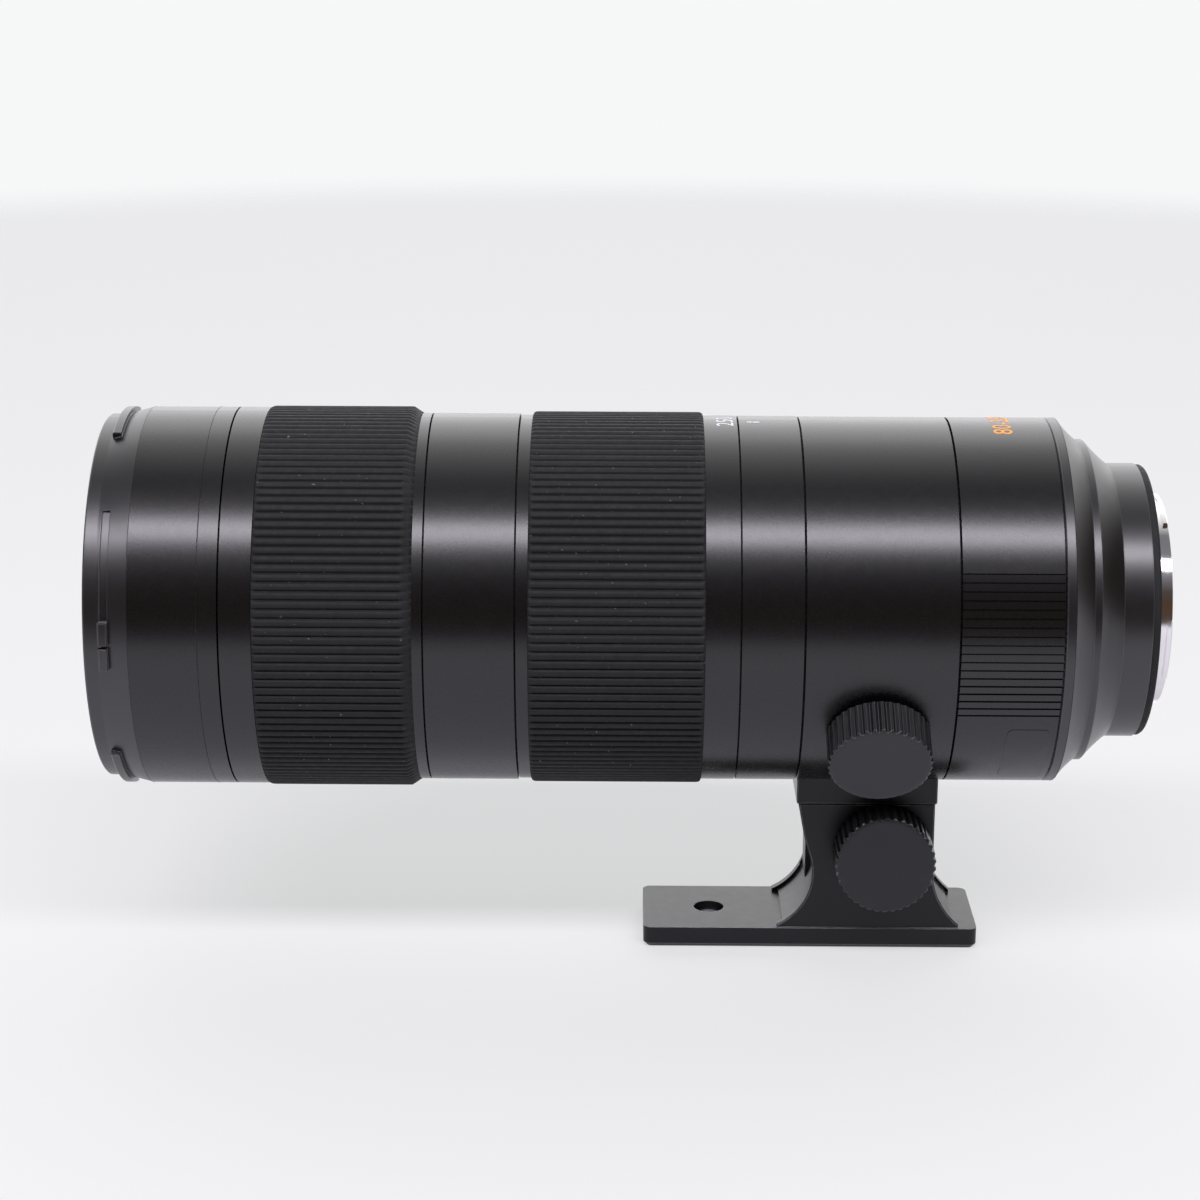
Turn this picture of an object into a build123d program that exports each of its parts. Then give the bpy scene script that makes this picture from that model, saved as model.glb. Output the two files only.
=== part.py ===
from build123d import *
from math import asin, atan2, cos, degrees, pi, radians, sin, sqrt
import os

# A long zoom lens on its tripod foot. The lens axis is X, the camera side is +X, up is +Z.
# The origin is the middle of the camera mount's flange face.

# Lengths of the barrel's zones along the axis, from the flange forward
cone_length = 22.5
rear_barrel_length = 22.7
collar_length = 34.5
index_ring_length = 13.6
zoom_ring_length = 50.1
mid_barrel_length = 19.8
focus_ring_length = 45.1
front_barrel_length = 19.7
hood_ring_length = 10.0

# Fixed tube that carries every zone, and the play of what turns on it
tube_radius = 40.0
tube_wall = 1.8
running_play = 0.05
seam = 0.4
edge = 0.3
overrun = 1.0

# How far each zone stands out from the fixed tube
hood_ring_wall = 2.0
front_barrel_wall = 3.7
focus_grip_wall = 4.0
mid_barrel_wall = 2.5
zoom_grip_wall = 3.0
band_wall = 2.2
rear_barrel_wall = 2.1

# Front ring with the filter thread and the hood lugs
filter_step = 0.6
filter_depth = 5.0
track_depth = 0.3
track_width = 1.8
track_sweep_angle = 34.0
track_start_angle = 49.0
shoulder_length = 7.0
lug_set_back = 3.5
lug_width = 2.0
lug_height = 1.7
top_lug_angle = 37.0
low_lug_angle = 37.0
low_lug_middle_angle = 149.5
stop_lug_angle = 6.7
stop_gap_angle = 1.0
stop_middle_angle = 90.4

# Front barrel: a shell on two lands, with a fine ring line
front_shell = 1.5
relief_land = 2.5
ring_line_place = 4.3
ring_line_width = 0.25

# Focus ring and zoom ring
focus_strip_length = 7.4
focus_tail_length = 2.6
grip_thickness = 1.8
focus_ring_wall = 1.0
focus_land = 4.0
zoom_bevel_length = 3.0
zoom_band_length = 8.0
grip_round = 0.8
focus_rib_count = 46
zoom_rib_count = 45
rib_groove_depth = 0.8
rib_groove_width = 0.9
rib_end_land = 0.4
focus_bevel_length = 2.2
zoom_throw_angle = 80.0
zoom_key_length = 6.0
zoom_key_angle = 7.0
zoom_key_middle_angle = 180.0

# Grooved finger panels on the rear barrel
panel_groove_count = 18
panel_groove_pitch_angle = 2.66
panel_groove_width = 0.45
panel_groove_depth = 0.4

# Stepped cone, gasket and bayonet mount
cone_shoulder_length = 2.2
cone_upper_length = 4.8
cone_land_length = 1.6
cone_lower_length = 5.8
cone_sag = 0.3
cone_land_share = 0.53
cone_wall = 3.6
flange_thickness = 1.6
flange_width = 6.2
gasket_width = 1.2
gasket_proud = 0.15
throat_radius = 22.2
neck_wall = 1.8
neck_length = 2.8
claw_height = 0.9
claw_length = 1.1
claw_angle = 35.2
claw_middle_angle = 102.9
claw_count = 4
mount_screw_radius = 1.75
mount_screw_depth = 1.0
mount_screw_count = 4
mount_screw_slot_width = 0.5
mount_screw_slot_depth = 0.4
baffle_wall = 5.0
baffle_depth = 3.0
baffle_reach = 2.6
contact_block_margin = 0.6
contact_block_thickness = 1.0
contact_block_angle = 76.0
contact_count = 10
contact_pitch_angle = 7.0
contact_radius = 0.75
contact_proud = 0.2

# Tripod collar, its block and its dovetail rail
block_set_in = 0.9
block_half_width = 13.3
block_neck = 3.9
block_chamfer = 0.9
rail_height = 5.9
rail_half_width = 5.0
rail_foot_half_width = 8.0
rail_play = 0.1

# Knurled knobs
knob_radius = 11.6
knob_face_chamfer = 0.5
knob_flutes = 38
flute_depth = 0.45
flute_share = 0.5
knob_stud_radius = 2.5
collar_knob_angle = 120.4
collar_knob_length = 9.2
collar_knob_gap = 0.3
pad_radius = 4.0
pad_thickness = 0.9
pad_pocket_depth = 1.4
foot_knob_length = 10.2
foot_knob_gap = 0.2
foot_knob_below = 11.4
foot_knob_shift = 3.9

# Foot plate and stem
plate_front_reach = 51.8
plate_rear_reach = 26.7
plate_half_width = 13.5
plate_thickness = 5.0
stem_height = 30.8
plate_corner = 2.0
plate_edge = 0.9
stem_near = 13.0
stem_far = 12.6
stem_gap = 0.3
stem_front_top = 15.9
stem_front_mid = 13.9
stem_front_mid_below = 10.2
stem_waist_front = 12.4
front_flare_height = 13.4
front_flare_radius = 14.0
stem_waist_rear = 15.9
rear_flare_height = 14.5
rear_flare_radius = 18.0
flare_lip = 0.7
flare_recess = 0.7
rim_width_near = 1.7
rim_width_far = 2.4
socket_set_back = 15.7
socket_hole_radius = 3.6
socket_length = 3.2
small_thread_radius = 2.57
large_thread_radius = 4.0
large_thread_depth = 8.0
large_socket_shift = 1.8

# Clamp jaw in the stem
jaw_near = 1.2
jaw_far = 10.1
jaw_below = 23.7
jaw_front_reach = 13.2
jaw_rear_reach = 15.6
jaw_travel = 0.6
jaw_play = 0.1

# Inside: front lens group
retainer_length = 4.0
retainer_lip = 1.0
cell_wall = 1.2
cell_length = 25.0
front_glass_rim = 4.6
front_glass_bulge = 4.0
front_glass_hollow = 2.0
second_glass_rim = 2.6
second_glass_bulge = 4.5
second_glass_hollow = 4.0
glass_gap = 1.5
glass_set_back = 0.4

# Inside: zoom cam, guides and moving groups
cam_tube_wall = 1.25
cam_tube_front = 158.0
cam_tube_rear = 76.0
guide_plate_place = 172.0
guide_plate_thickness = 2.5
guide_plate_width = 10.7
rod_radius = 1.5
rod_inset = 5.3
group_gap = 0.6
group_thickness = 6.0
follower_count = 3
follower_radius = 1.5
follower_first_angle = 60.0
follower_seat = 2.3
follower_tip_gap = 0.2
cam_slot_play = 0.25
cam_slot_steps = 8
variator_place = 150.0
variator_travel = 28.0
variator_glass_inset = 11.0
variator_glass_rim = 4.4
variator_glass_hollow = 1.5
compensator_place = 84.0
compensator_travel = -10.0
compensator_glass_inset = 13.0
compensator_glass_rim = 2.4
compensator_glass_bulge = 1.8

# Inside: iris
iris_place = 58.0
iris_base_thickness = 1.5
iris_length = 7.2
iris_wall = 1.8
iris_bore_lip = 0.6
iris_cover_thickness = 1.0
blade_count = 9
blade_thickness = 0.2
blade_pitch = 0.3
blade_width = 7.4
blade_set_in = 4.0
blade_sweep_angle = 95.0
blade_neck_radius = 2.0
blade_pivot_inset = 7.4
blade_pin_radius = 0.75
blade_stud_arm = 4.0
blade_stud_radius = 0.6
blade_head_radius = 1.2
blade_swing_angle = 30.0
drive_ring_width = 5.75
drive_ring_thickness = 1.2
drive_slot_play = 0.15
ring_gap = 0.15

# Inside: relay group, focusing group and its drive
relay_place = 49.5
relay_thickness = 9.5
relay_ring_width = 22.2
relay_glass_rim = 6.6
relay_glass_bulge = 1.4
focus_group_place = 31.5
focus_group_thickness = 3.0
focus_group_gap = 4.2
focus_travel = 5.0
focus_glass_inset = 20.0
focus_glass_rim = 2.0
focus_glass_hollow = 0.4
focus_rod_inset = 10.0
motor_radius = 4.5
motor_length = 7.5
motor_inset = 4.0
screw_radius = 1.25
board_thickness = 1.6
board_gap = 0.4
board_width = 21.0

# Inside: rear group
rear_cell_flange_place = 8.0
rear_cell_flange_thickness = 2.0
rear_cell_front = 16.0
rear_cell_gap = 0.2
rear_cell_wall = 1.2
rear_glass_front = 12.0
rear_glass_rim = 4.0
rear_glass_bulge = 1.6
rear_seat_step = 2.4

# Places of the zones' front planes on the axis
x_cone = -cone_length
x_rear = x_cone - rear_barrel_length
x_collar = x_rear - collar_length
x_index = x_collar - index_ring_length
x_zoom = x_index - zoom_ring_length
x_mid = x_zoom - mid_barrel_length
x_focus = x_mid - focus_ring_length
x_barrel = x_focus - front_barrel_length
x_front = x_barrel - hood_ring_length
x_tube = x_front + filter_depth
x_collar_mid = (x_collar + x_rear) / 2

# Radii outside and inside the fixed tube
filter_bore_radius = tube_radius + filter_step
hood_ring_radius = tube_radius + hood_ring_wall
front_barrel_radius = tube_radius + front_barrel_wall
focus_grip_radius = tube_radius + focus_grip_wall
mid_barrel_radius = tube_radius + mid_barrel_wall
zoom_grip_radius = tube_radius + zoom_grip_wall
band_radius = tube_radius + band_wall
rear_barrel_radius = tube_radius + rear_barrel_wall
focus_seat_radius = focus_grip_radius - grip_thickness
zoom_seat_radius = zoom_grip_radius - grip_thickness
focus_relief_radius = focus_seat_radius - focus_ring_wall
tube_bore = tube_radius - tube_wall
turning_bore = tube_radius + running_play
cell_bore = tube_bore - cell_wall
retainer_bore_radius = cell_bore - retainer_lip
cam_tube_radius = tube_bore - running_play
cam_tube_bore = cam_tube_radius - cam_tube_wall
group_rim_radius = cam_tube_bore - group_gap
rod_circle = group_rim_radius - rod_inset
follower_root = group_rim_radius - follower_seat
follower_tip = tube_bore - follower_tip_gap
iris_inner_wall = tube_bore - iris_wall
blade_pivot_circle = iris_inner_wall - blade_pivot_inset
blade_outside = blade_pivot_circle - blade_set_in
blade_inside = blade_outside - blade_width
iris_bore_radius = blade_inside - iris_bore_lip
focus_group_radius = tube_bore - focus_group_gap
focus_bore_radius = focus_group_radius - focus_glass_inset
focus_rod_ring = focus_group_radius - focus_rod_inset
motor_ring = focus_group_radius - motor_inset
relay_bore_radius = tube_bore - relay_ring_width
board_radius = tube_radius - board_gap

# Radii of the mount
neck_radius = throat_radius + neck_wall
flange_radius = neck_radius + flange_width
claw_radius = neck_radius + claw_height
mount_screw_circle = (neck_radius + flange_radius) / 2
mount_barrel_radius = flange_radius + gasket_width + edge
cone_land_radius = mount_barrel_radius + cone_land_share * (rear_barrel_radius - mount_barrel_radius)
baffle_bore_radius = throat_radius - baffle_wall
contact_block_inside = baffle_bore_radius + contact_block_margin
contact_block_outside = throat_radius - contact_block_margin
rear_cell_radius = baffle_bore_radius - rear_cell_gap
rear_glass_radius = rear_cell_radius - rear_cell_wall
rear_seat_radius = throat_radius + rear_seat_step

# Heights below the lens axis
block_drop = band_radius + block_neck
plate_drop = block_drop + stem_height
foot_knob_drop = block_drop + foot_knob_below
jaw_drop = block_drop + jaw_below
stem_front_mid_drop = block_drop + stem_front_mid_below
stem_waist_front_drop = plate_drop - front_flare_height
stem_waist_rear_drop = plate_drop - rear_flare_height

os.makedirs("parts", exist_ok=True)


def radial_plane(angle):
    """The plane through the lens axis at an angle turned about +X from straight up."""
    return Plane(origin=(0, 0, 0), x_dir=(1, 0, 0), z_dir=(0, -cos(radians(angle)), -sin(radians(angle))))


def turned(*points, start=0, sweep=360, mode=Mode.ADD):
    """Turns a closed outline of (place, radius) points about the lens axis."""
    with BuildSketch(radial_plane(start)) as outline:
        with BuildLine():
            Polyline(*points, close=True)
        make_face()
    revolve(outline.sketch, axis=Axis.X, revolution_arc=sweep, mode=mode)


def tube(front, rear, inside, outside, start=0, sweep=360, mode=Mode.ADD):
    """A plain tube, or a sector of one, between two places on the axis."""
    corners = [(front, inside), (rear, inside), (rear, outside), (front, outside)]
    turned(*corners, start=start, sweep=sweep, mode=mode)


def rods(front, rear, radius, circle, angles, mode=Mode.ADD):
    """Rods or holes along the axis, on a circle, at angles turned about +X from straight up."""
    with BuildSketch(Plane.YZ.offset(front)) as ends:
        places = [(-circle * sin(radians(a)), circle * cos(radians(a))) for a in angles]
        with Locations(*places):
            Circle(radius)
    extrude(ends.sketch, amount=rear - front, mode=mode)


def radial_pins(place, radius, root, tip, angles, mode=Mode.ADD):
    """Round pins or holes that stand out from the axis at one place."""
    for angle in angles:
        out = Vector(0, -sin(radians(angle)), cos(radians(angle)))
        foot = Vector(place, 0, 0) + out * root
        with BuildSketch(Plane(origin=foot, x_dir=(1, 0, 0), z_dir=out)) as end:
            Circle(radius)
        extrude(end.sketch, amount=tip - root, mode=mode)


def glass(front, rim_radius, rim_length, front_bulge, rear_bulge):
    """A lens turned from two arcs; front is the rim's front edge, a hollow face has a minus bulge."""
    rear = front + rim_length

    def face_curve(rim_place, bulge):
        ball = (rim_radius ** 2 + bulge ** 2) / (2 * abs(bulge))
        side = 1 if bulge > 0 else -1
        half = rim_radius / 2
        mid_place = rim_place + bulge - side * (ball - sqrt(ball ** 2 - half ** 2))
        return (rim_place + bulge, 0), (mid_place, half), (rim_place, rim_radius)

    apex, middle, rim = face_curve(front, -front_bulge)
    far_apex, far_middle, far_rim = face_curve(rear, rear_bulge)
    with BuildSketch(Plane.XZ) as outline:
        with BuildLine():
            ThreePointArc(apex, middle, rim)
            Line(rim, far_rim)
            ThreePointArc(far_rim, far_middle, far_apex)
            Line(far_apex, apex)
        make_face()
    revolve(outline.sketch, axis=Axis.X)


def knob(base, length):
    """A knurled knob: a disc with a chamfered face and flutes cut along its rim."""
    with BuildSketch(base) as disc:
        Circle(knob_radius)
    extrude(disc.sketch, amount=length)
    face = faces().sort_by(Axis(base.origin, base.z_dir)).last
    chamfer(face.edges(), knob_face_chamfer)
    flute_width = flute_share * 2 * pi * knob_radius / knob_flutes
    with BuildSketch(base) as flutes:
        with PolarLocations(knob_radius, knob_flutes):
            Rectangle(2 * flute_depth, flute_width)
    extrude(flutes.sketch, amount=length, mode=Mode.SUBTRACT)


def ribs(front, rear, radius, count):
    """Grooves along the axis round a rubber sleeve, with a rib between each two."""
    with BuildSketch(Plane.YZ.offset(front)) as grooves:
        with PolarLocations(radius, count):
            Rectangle(2 * rib_groove_depth, rib_groove_width)
    extrude(grooves.sketch, amount=rear - front, mode=Mode.SUBTRACT)


# Front ring: filter thread inside, shoulder and hood lugs outside
x_lug = x_front + lug_set_back
with BuildPart() as hood_bayonet_ring:
    turned(
        (x_front, filter_bore_radius),
        (x_front, hood_ring_radius - edge),
        (x_front + edge, hood_ring_radius),
        (x_barrel - shoulder_length, hood_ring_radius),
        (x_barrel, front_barrel_radius),
        (x_barrel, tube_radius),
        (x_tube, tube_radius),
        (x_tube, filter_bore_radius),
    )
    lugs = [(-top_lug_angle / 2, top_lug_angle)]
    lugs += [(side * low_lug_middle_angle - low_lug_angle / 2, low_lug_angle) for side in (1, -1)]
    for side in (1, -1):
        middle = side * stop_middle_angle
        lugs.append((middle - stop_gap_angle / 2 - stop_lug_angle, stop_lug_angle))
        lugs.append((middle + stop_gap_angle / 2, stop_lug_angle))
    for start, sweep in lugs:
        turned(
            (x_lug, hood_ring_radius - edge),
            (x_lug, hood_ring_radius + lug_height - edge),
            (x_lug + edge, hood_ring_radius + lug_height),
            (x_lug + lug_width, hood_ring_radius + lug_height),
            (x_lug + lug_width, hood_ring_radius - edge),
            start=start,
            sweep=sweep,
        )
    for start in (track_start_angle, -track_start_angle - track_sweep_angle):
        tube(
            x_lug + edge,
            x_lug + edge + track_width,
            hood_ring_radius - track_depth,
            hood_ring_radius + overrun,
            start=start,
            sweep=track_sweep_angle,
            mode=Mode.SUBTRACT,
        )
hood_bayonet_ring.part.label = "hood_bayonet_ring"
export_step(hood_bayonet_ring.part, "parts/hood_bayonet_ring.step")

# Fixed tube with the slot that the zoom key passes through
x_key = x_zoom + zoom_ring_length / 2
key_slot_side = degrees(running_play + edge) / tube_bore
with BuildPart() as main_tube:
    tube(x_tube, x_cone, tube_bore, tube_radius)
    tube(
        x_key - zoom_key_length / 2 - edge,
        x_key + zoom_key_length / 2 + edge,
        tube_bore - overrun,
        tube_radius + overrun,
        start=zoom_key_middle_angle - zoom_key_angle / 2 - key_slot_side,
        sweep=zoom_throw_angle + zoom_key_angle + 2 * key_slot_side,
        mode=Mode.SUBTRACT,
    )
main_tube.part.label = "main_tube"
export_step(main_tube.part, "parts/main_tube.step")

x_line = x_focus - ring_line_place
with BuildPart() as front_barrel:
    turned(
        (x_barrel, tube_radius),
        (x_barrel, front_barrel_radius),
        (x_focus, front_barrel_radius),
        (x_focus, tube_radius),
        (x_focus - relief_land, tube_radius),
        (x_focus - relief_land, front_barrel_radius - front_shell),
        (x_barrel + relief_land, front_barrel_radius - front_shell),
        (x_barrel + relief_land, tube_radius),
    )
    tube(
        x_line - ring_line_width,
        x_line,
        front_barrel_radius - ring_line_width,
        front_barrel_radius + overrun,
        mode=Mode.SUBTRACT,
    )
front_barrel.part.label = "front_barrel"
export_step(front_barrel.part, "parts/front_barrel.step")

# Focus ring and its rubber grip
x_focus_grip = x_focus + focus_strip_length
x_focus_tail = x_mid - focus_tail_length
with BuildPart() as focus_ring:
    turned(
        (x_focus + seam, turning_bore),
        (x_focus + seam, front_barrel_radius),
        (x_focus_grip, front_barrel_radius),
        (x_focus_grip, focus_seat_radius),
        (x_focus_tail, focus_seat_radius),
        (x_focus_tail, mid_barrel_radius),
        (x_mid - seam, mid_barrel_radius),
        (x_mid - seam, turning_bore),
        (x_mid - seam - focus_land, turning_bore),
        (x_mid - seam - focus_land, focus_relief_radius),
        (x_focus + seam + focus_land, focus_relief_radius),
        (x_focus + seam + focus_land, turning_bore),
    )
focus_ring.part.label = "focus_ring"
export_step(focus_ring.part, "parts/focus_ring.step")

with BuildPart() as focus_grip:
    turned(
        (x_focus_grip, focus_seat_radius),
        (x_focus_grip, focus_grip_radius - grip_round),
        (x_focus_grip + grip_round, focus_grip_radius),
        (x_focus_tail - focus_bevel_length, focus_grip_radius),
        (x_focus_tail, mid_barrel_radius),
        (x_focus_tail, focus_seat_radius),
    )
    ribs(
        x_focus_grip + grip_round + rib_end_land,
        x_focus_tail - focus_bevel_length - rib_end_land,
        focus_grip_radius,
        focus_rib_count,
    )
focus_grip.part.label = "focus_grip"
export_step(focus_grip.part, "parts/focus_grip.step")

with BuildPart() as mid_barrel:
    tube(x_mid, x_zoom, tube_radius, mid_barrel_radius)
mid_barrel.part.label = "mid_barrel"
export_step(mid_barrel.part, "parts/mid_barrel.step")

# Zoom ring, its rubber grip, the key and the cam tube that it turns
x_zoom_grip = x_zoom + zoom_bevel_length
x_zoom_band = x_index - zoom_band_length
with BuildPart() as zoom_ring:
    turned(
        (x_zoom + seam, turning_bore),
        (x_zoom + seam, band_radius),
        (x_zoom_grip, band_radius),
        (x_zoom_grip, zoom_seat_radius),
        (x_zoom_band, zoom_seat_radius),
        (x_zoom_band, band_radius),
        (x_index - seam, band_radius),
        (x_index - seam, turning_bore),
    )
zoom_ring.part.label = "zoom_ring"
export_step(zoom_ring.part, "parts/zoom_ring.step")

with BuildPart() as zoom_grip:
    turned(
        (x_zoom_grip, zoom_seat_radius),
        (x_zoom_grip, zoom_grip_radius - grip_round),
        (x_zoom_grip + grip_round, zoom_grip_radius),
        (x_zoom_band - grip_round, zoom_grip_radius),
        (x_zoom_band, zoom_grip_radius - grip_round),
        (x_zoom_band, zoom_seat_radius),
    )
    ribs(
        x_zoom_grip + grip_round + rib_end_land,
        x_zoom_band - grip_round - rib_end_land,
        zoom_grip_radius,
        zoom_rib_count,
    )
zoom_grip.part.label = "zoom_grip"
export_step(zoom_grip.part, "parts/zoom_grip.step")

with BuildPart() as zoom_key:
    tube(
        x_key - zoom_key_length / 2,
        x_key + zoom_key_length / 2,
        cam_tube_radius,
        turning_bore,
        start=zoom_key_middle_angle - zoom_key_angle / 2,
        sweep=zoom_key_angle,
    )
zoom_key.part.label = "zoom_key"
export_step(zoom_key.part, "parts/zoom_key.step")

follower_places = [follower_first_angle + 360 / follower_count * pin for pin in range(follower_count)]


def cam_slot(place, travel, start):
    """A helical slot: the follower stays at its angle while the tube turns back past it."""
    slope = travel / (radians(zoom_throw_angle) * cam_tube_radius)
    half = (follower_radius + cam_slot_play) * sqrt(1 + slope ** 2)
    side = degrees((follower_radius + cam_slot_play) / cam_tube_radius)
    turn = zoom_throw_angle + 2 * side
    sections = []
    for step in range(cam_slot_steps + 1):
        angle = side - turn * step / cam_slot_steps
        middle = place - travel * angle / zoom_throw_angle
        with BuildSketch(radial_plane(start + angle)) as section:
            with Locations((middle, cam_tube_radius - cam_tube_wall / 2)):
                Rectangle(2 * half, cam_tube_wall + 2 * overrun)
        sections.append(section.sketch)
    loft(sections, ruled=True, mode=Mode.SUBTRACT)


with BuildPart() as zoom_cam_tube:
    tube(-cam_tube_front, -cam_tube_rear, cam_tube_bore, cam_tube_radius)
    for start in follower_places:
        cam_slot(-variator_place, variator_travel, start)
        cam_slot(-compensator_place, compensator_travel, start)
zoom_cam_tube.part.label = "zoom_cam_tube"
export_step(zoom_cam_tube.part, "parts/zoom_cam_tube.step")

with BuildPart() as index_ring:
    tube(x_index, x_collar, tube_radius, band_radius)
index_ring.part.label = "index_ring"
export_step(index_ring.part, "parts/index_ring.step")

# Rear barrel with grooved finger panels on both sides
with BuildPart() as rear_barrel:
    turned(
        (x_rear, tube_radius),
        (x_rear, rear_barrel_radius),
        (x_cone - edge, rear_barrel_radius),
        (x_cone, rear_barrel_radius - edge),
        (x_cone, tube_radius),
    )
    with BuildSketch(Plane.YZ.offset(x_rear)):
        for side in (0, 180):
            for groove in range(panel_groove_count):
                angle = side + panel_groove_pitch_angle * (groove - (panel_groove_count - 1) / 2)
                out = Vector(cos(radians(angle)), sin(radians(angle))) * rear_barrel_radius
                with Locations(Location((out.X, out.Y), angle)):
                    Rectangle(2 * panel_groove_depth, panel_groove_width)
    extrude(amount=rear_barrel_length, mode=Mode.SUBTRACT)
rear_barrel.part.label = "rear_barrel"
export_step(rear_barrel.part, "parts/rear_barrel.step")

# Stepped cone from the barrel down to the mount, hollow with an even wall
x_upper = x_cone + cone_shoulder_length
x_land = x_upper + cone_upper_length
x_lower = x_land + cone_land_length
x_mount_barrel = x_lower + cone_lower_length
x_flange = -flange_thickness
x_cone_pocket = x_cone + board_thickness + overrun
with BuildPart() as mount_cone:
    with BuildSketch(Plane.XZ):
        with BuildLine():
            upper_mid = ((x_upper + x_land) / 2, (rear_barrel_radius + cone_land_radius) / 2 - cone_sag)
            lower_mid = ((x_lower + x_mount_barrel) / 2,
                         (cone_land_radius + mount_barrel_radius) / 2 - cone_sag)
            Polyline(
                (x_cone, tube_radius),
                (x_cone, rear_barrel_radius - edge),
                (x_cone + edge, rear_barrel_radius),
                (x_upper, rear_barrel_radius),
            )
            ThreePointArc((x_upper, rear_barrel_radius), upper_mid, (x_land, cone_land_radius))
            Line((x_land, cone_land_radius), (x_lower, cone_land_radius))
            ThreePointArc((x_lower, cone_land_radius), lower_mid, (x_mount_barrel, mount_barrel_radius))
            Polyline(
                (x_mount_barrel, mount_barrel_radius),
                (x_flange, mount_barrel_radius),
                (x_flange, rear_seat_radius),
                (-rear_cell_flange_place - cone_wall, rear_seat_radius),
                (x_lower, cone_land_radius - cone_wall),
                (x_land, cone_land_radius - cone_wall),
                (x_cone_pocket, tube_radius),
                (x_cone, tube_radius),
            )
        make_face()
    revolve(axis=Axis.X)
mount_cone.part.label = "mount_cone"
export_step(mount_cone.part, "parts/mount_cone.step")

with BuildPart() as mount_gasket:
    turned(
        (x_flange, flange_radius),
        (x_flange, mount_barrel_radius - edge),
        (-edge, mount_barrel_radius - edge),
        (gasket_proud, flange_radius + gasket_width - edge),
        (gasket_proud, flange_radius),
    )
mount_gasket.part.label = "mount_gasket"
export_step(mount_gasket.part, "parts/mount_gasket.step")

# Bayonet mount: screwed flange, neck and claws
screw_angles = [45 + 360 / mount_screw_count * screw for screw in range(mount_screw_count)]
x_claw = neck_length
with BuildPart() as bayonet_mount:
    tube(x_flange, 0, throat_radius, flange_radius)
    tube(0, neck_length + claw_length, throat_radius, neck_radius)
    for claw in range(claw_count):
        start = claw_middle_angle - claw_angle / 2 + 360 / claw_count * claw
        turned(
            (x_claw, neck_radius - edge),
            (x_claw, claw_radius),
            (x_claw + claw_length - edge, claw_radius),
            (x_claw + claw_length, claw_radius - edge),
            (x_claw + claw_length, neck_radius - edge),
            start=start,
            sweep=claw_angle,
        )
    rods(-mount_screw_depth, 0, mount_screw_radius, mount_screw_circle, screw_angles, mode=Mode.SUBTRACT)
bayonet_mount.part.label = "bayonet_mount"
export_step(bayonet_mount.part, "parts/bayonet_mount.step")

with BuildPart() as mount_screws:
    rods(-mount_screw_depth, 0, mount_screw_radius, mount_screw_circle, screw_angles)
    with BuildSketch(Plane.YZ):
        for angle in screw_angles:
            out = (-mount_screw_circle * sin(radians(angle)), mount_screw_circle * cos(radians(angle)))
            with Locations(out):
                Rectangle(mount_screw_radius, mount_screw_slot_width)
                Rectangle(mount_screw_slot_width, mount_screw_radius)
    extrude(amount=-mount_screw_slot_depth, mode=Mode.SUBTRACT)
mount_screws.part.label = "mount_screws"
export_step(mount_screws.part, "parts/mount_screws.step")

with BuildPart() as rear_baffle:
    tube(-baffle_depth, baffle_reach, baffle_bore_radius, throat_radius)
rear_baffle.part.label = "rear_baffle"
export_step(rear_baffle.part, "parts/rear_baffle.step")

x_contact_face = baffle_reach + contact_block_thickness
with BuildPart() as contact_block:
    tube(
        baffle_reach,
        x_contact_face,
        contact_block_inside,
        contact_block_outside,
        start=180 - contact_block_angle / 2,
        sweep=contact_block_angle,
    )
contact_block.part.label = "contact_block"
export_step(contact_block.part, "parts/contact_block.step")

contact_circle = (contact_block_inside + contact_block_outside) / 2
contact_angles = [180 + contact_pitch_angle * (pin - (contact_count - 1) / 2) for pin in range(contact_count)]
with BuildPart() as contact_pins:
    rods(x_contact_face, x_contact_face + contact_proud, contact_radius, contact_circle, contact_angles)
contact_pins.part.label = "contact_pins"
export_step(contact_pins.part, "parts/contact_pins.step")

# Rear cell and its glass
with BuildPart() as rear_cell:
    tube(-rear_cell_front, -baffle_depth, rear_glass_radius, rear_cell_radius)
    tube(
        -rear_cell_flange_place,
        -rear_cell_flange_place + rear_cell_flange_thickness,
        rear_glass_radius,
        rear_seat_radius,
    )
rear_cell.part.label = "rear_cell"
export_step(rear_cell.part, "parts/rear_cell.step")

with BuildPart() as rear_element:
    glass(-rear_glass_front, rear_glass_radius, rear_glass_rim, rear_glass_bulge, rear_glass_bulge)
rear_element.part.label = "rear_element"
export_step(rear_element.part, "parts/rear_element.step")

# Front group: retaining ring, cell and two glasses
x_cell = x_tube + retainer_length
with BuildPart() as front_retainer:
    turned(
        (x_tube, retainer_bore_radius + edge),
        (x_tube, tube_bore),
        (x_cell, tube_bore),
        (x_cell, retainer_bore_radius),
        (x_tube + edge, retainer_bore_radius),
    )
front_retainer.part.label = "front_retainer"
export_step(front_retainer.part, "parts/front_retainer.step")

x_front_glass = x_cell + glass_set_back
x_second_glass = x_front_glass + front_glass_rim + glass_gap + second_glass_bulge
x_cell_lip = x_second_glass + second_glass_rim
with BuildPart() as front_cell:
    tube(x_cell, x_cell + cell_length, cell_bore, tube_bore)
    tube(x_front_glass + front_glass_rim, x_second_glass - glass_set_back, retainer_bore_radius, cell_bore)
    tube(x_cell_lip, x_cell + cell_length, retainer_bore_radius, cell_bore)
front_cell.part.label = "front_cell"
export_step(front_cell.part, "parts/front_cell.step")

with BuildPart() as front_element:
    glass(x_front_glass, cell_bore, front_glass_rim, front_glass_bulge, -front_glass_hollow)
front_element.part.label = "front_element"
export_step(front_element.part, "parts/front_element.step")

with BuildPart() as second_element:
    glass(x_second_glass, cell_bore, second_glass_rim, second_glass_bulge, -second_glass_hollow / 2)
second_element.part.label = "second_element"
export_step(second_element.part, "parts/second_element.step")

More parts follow.
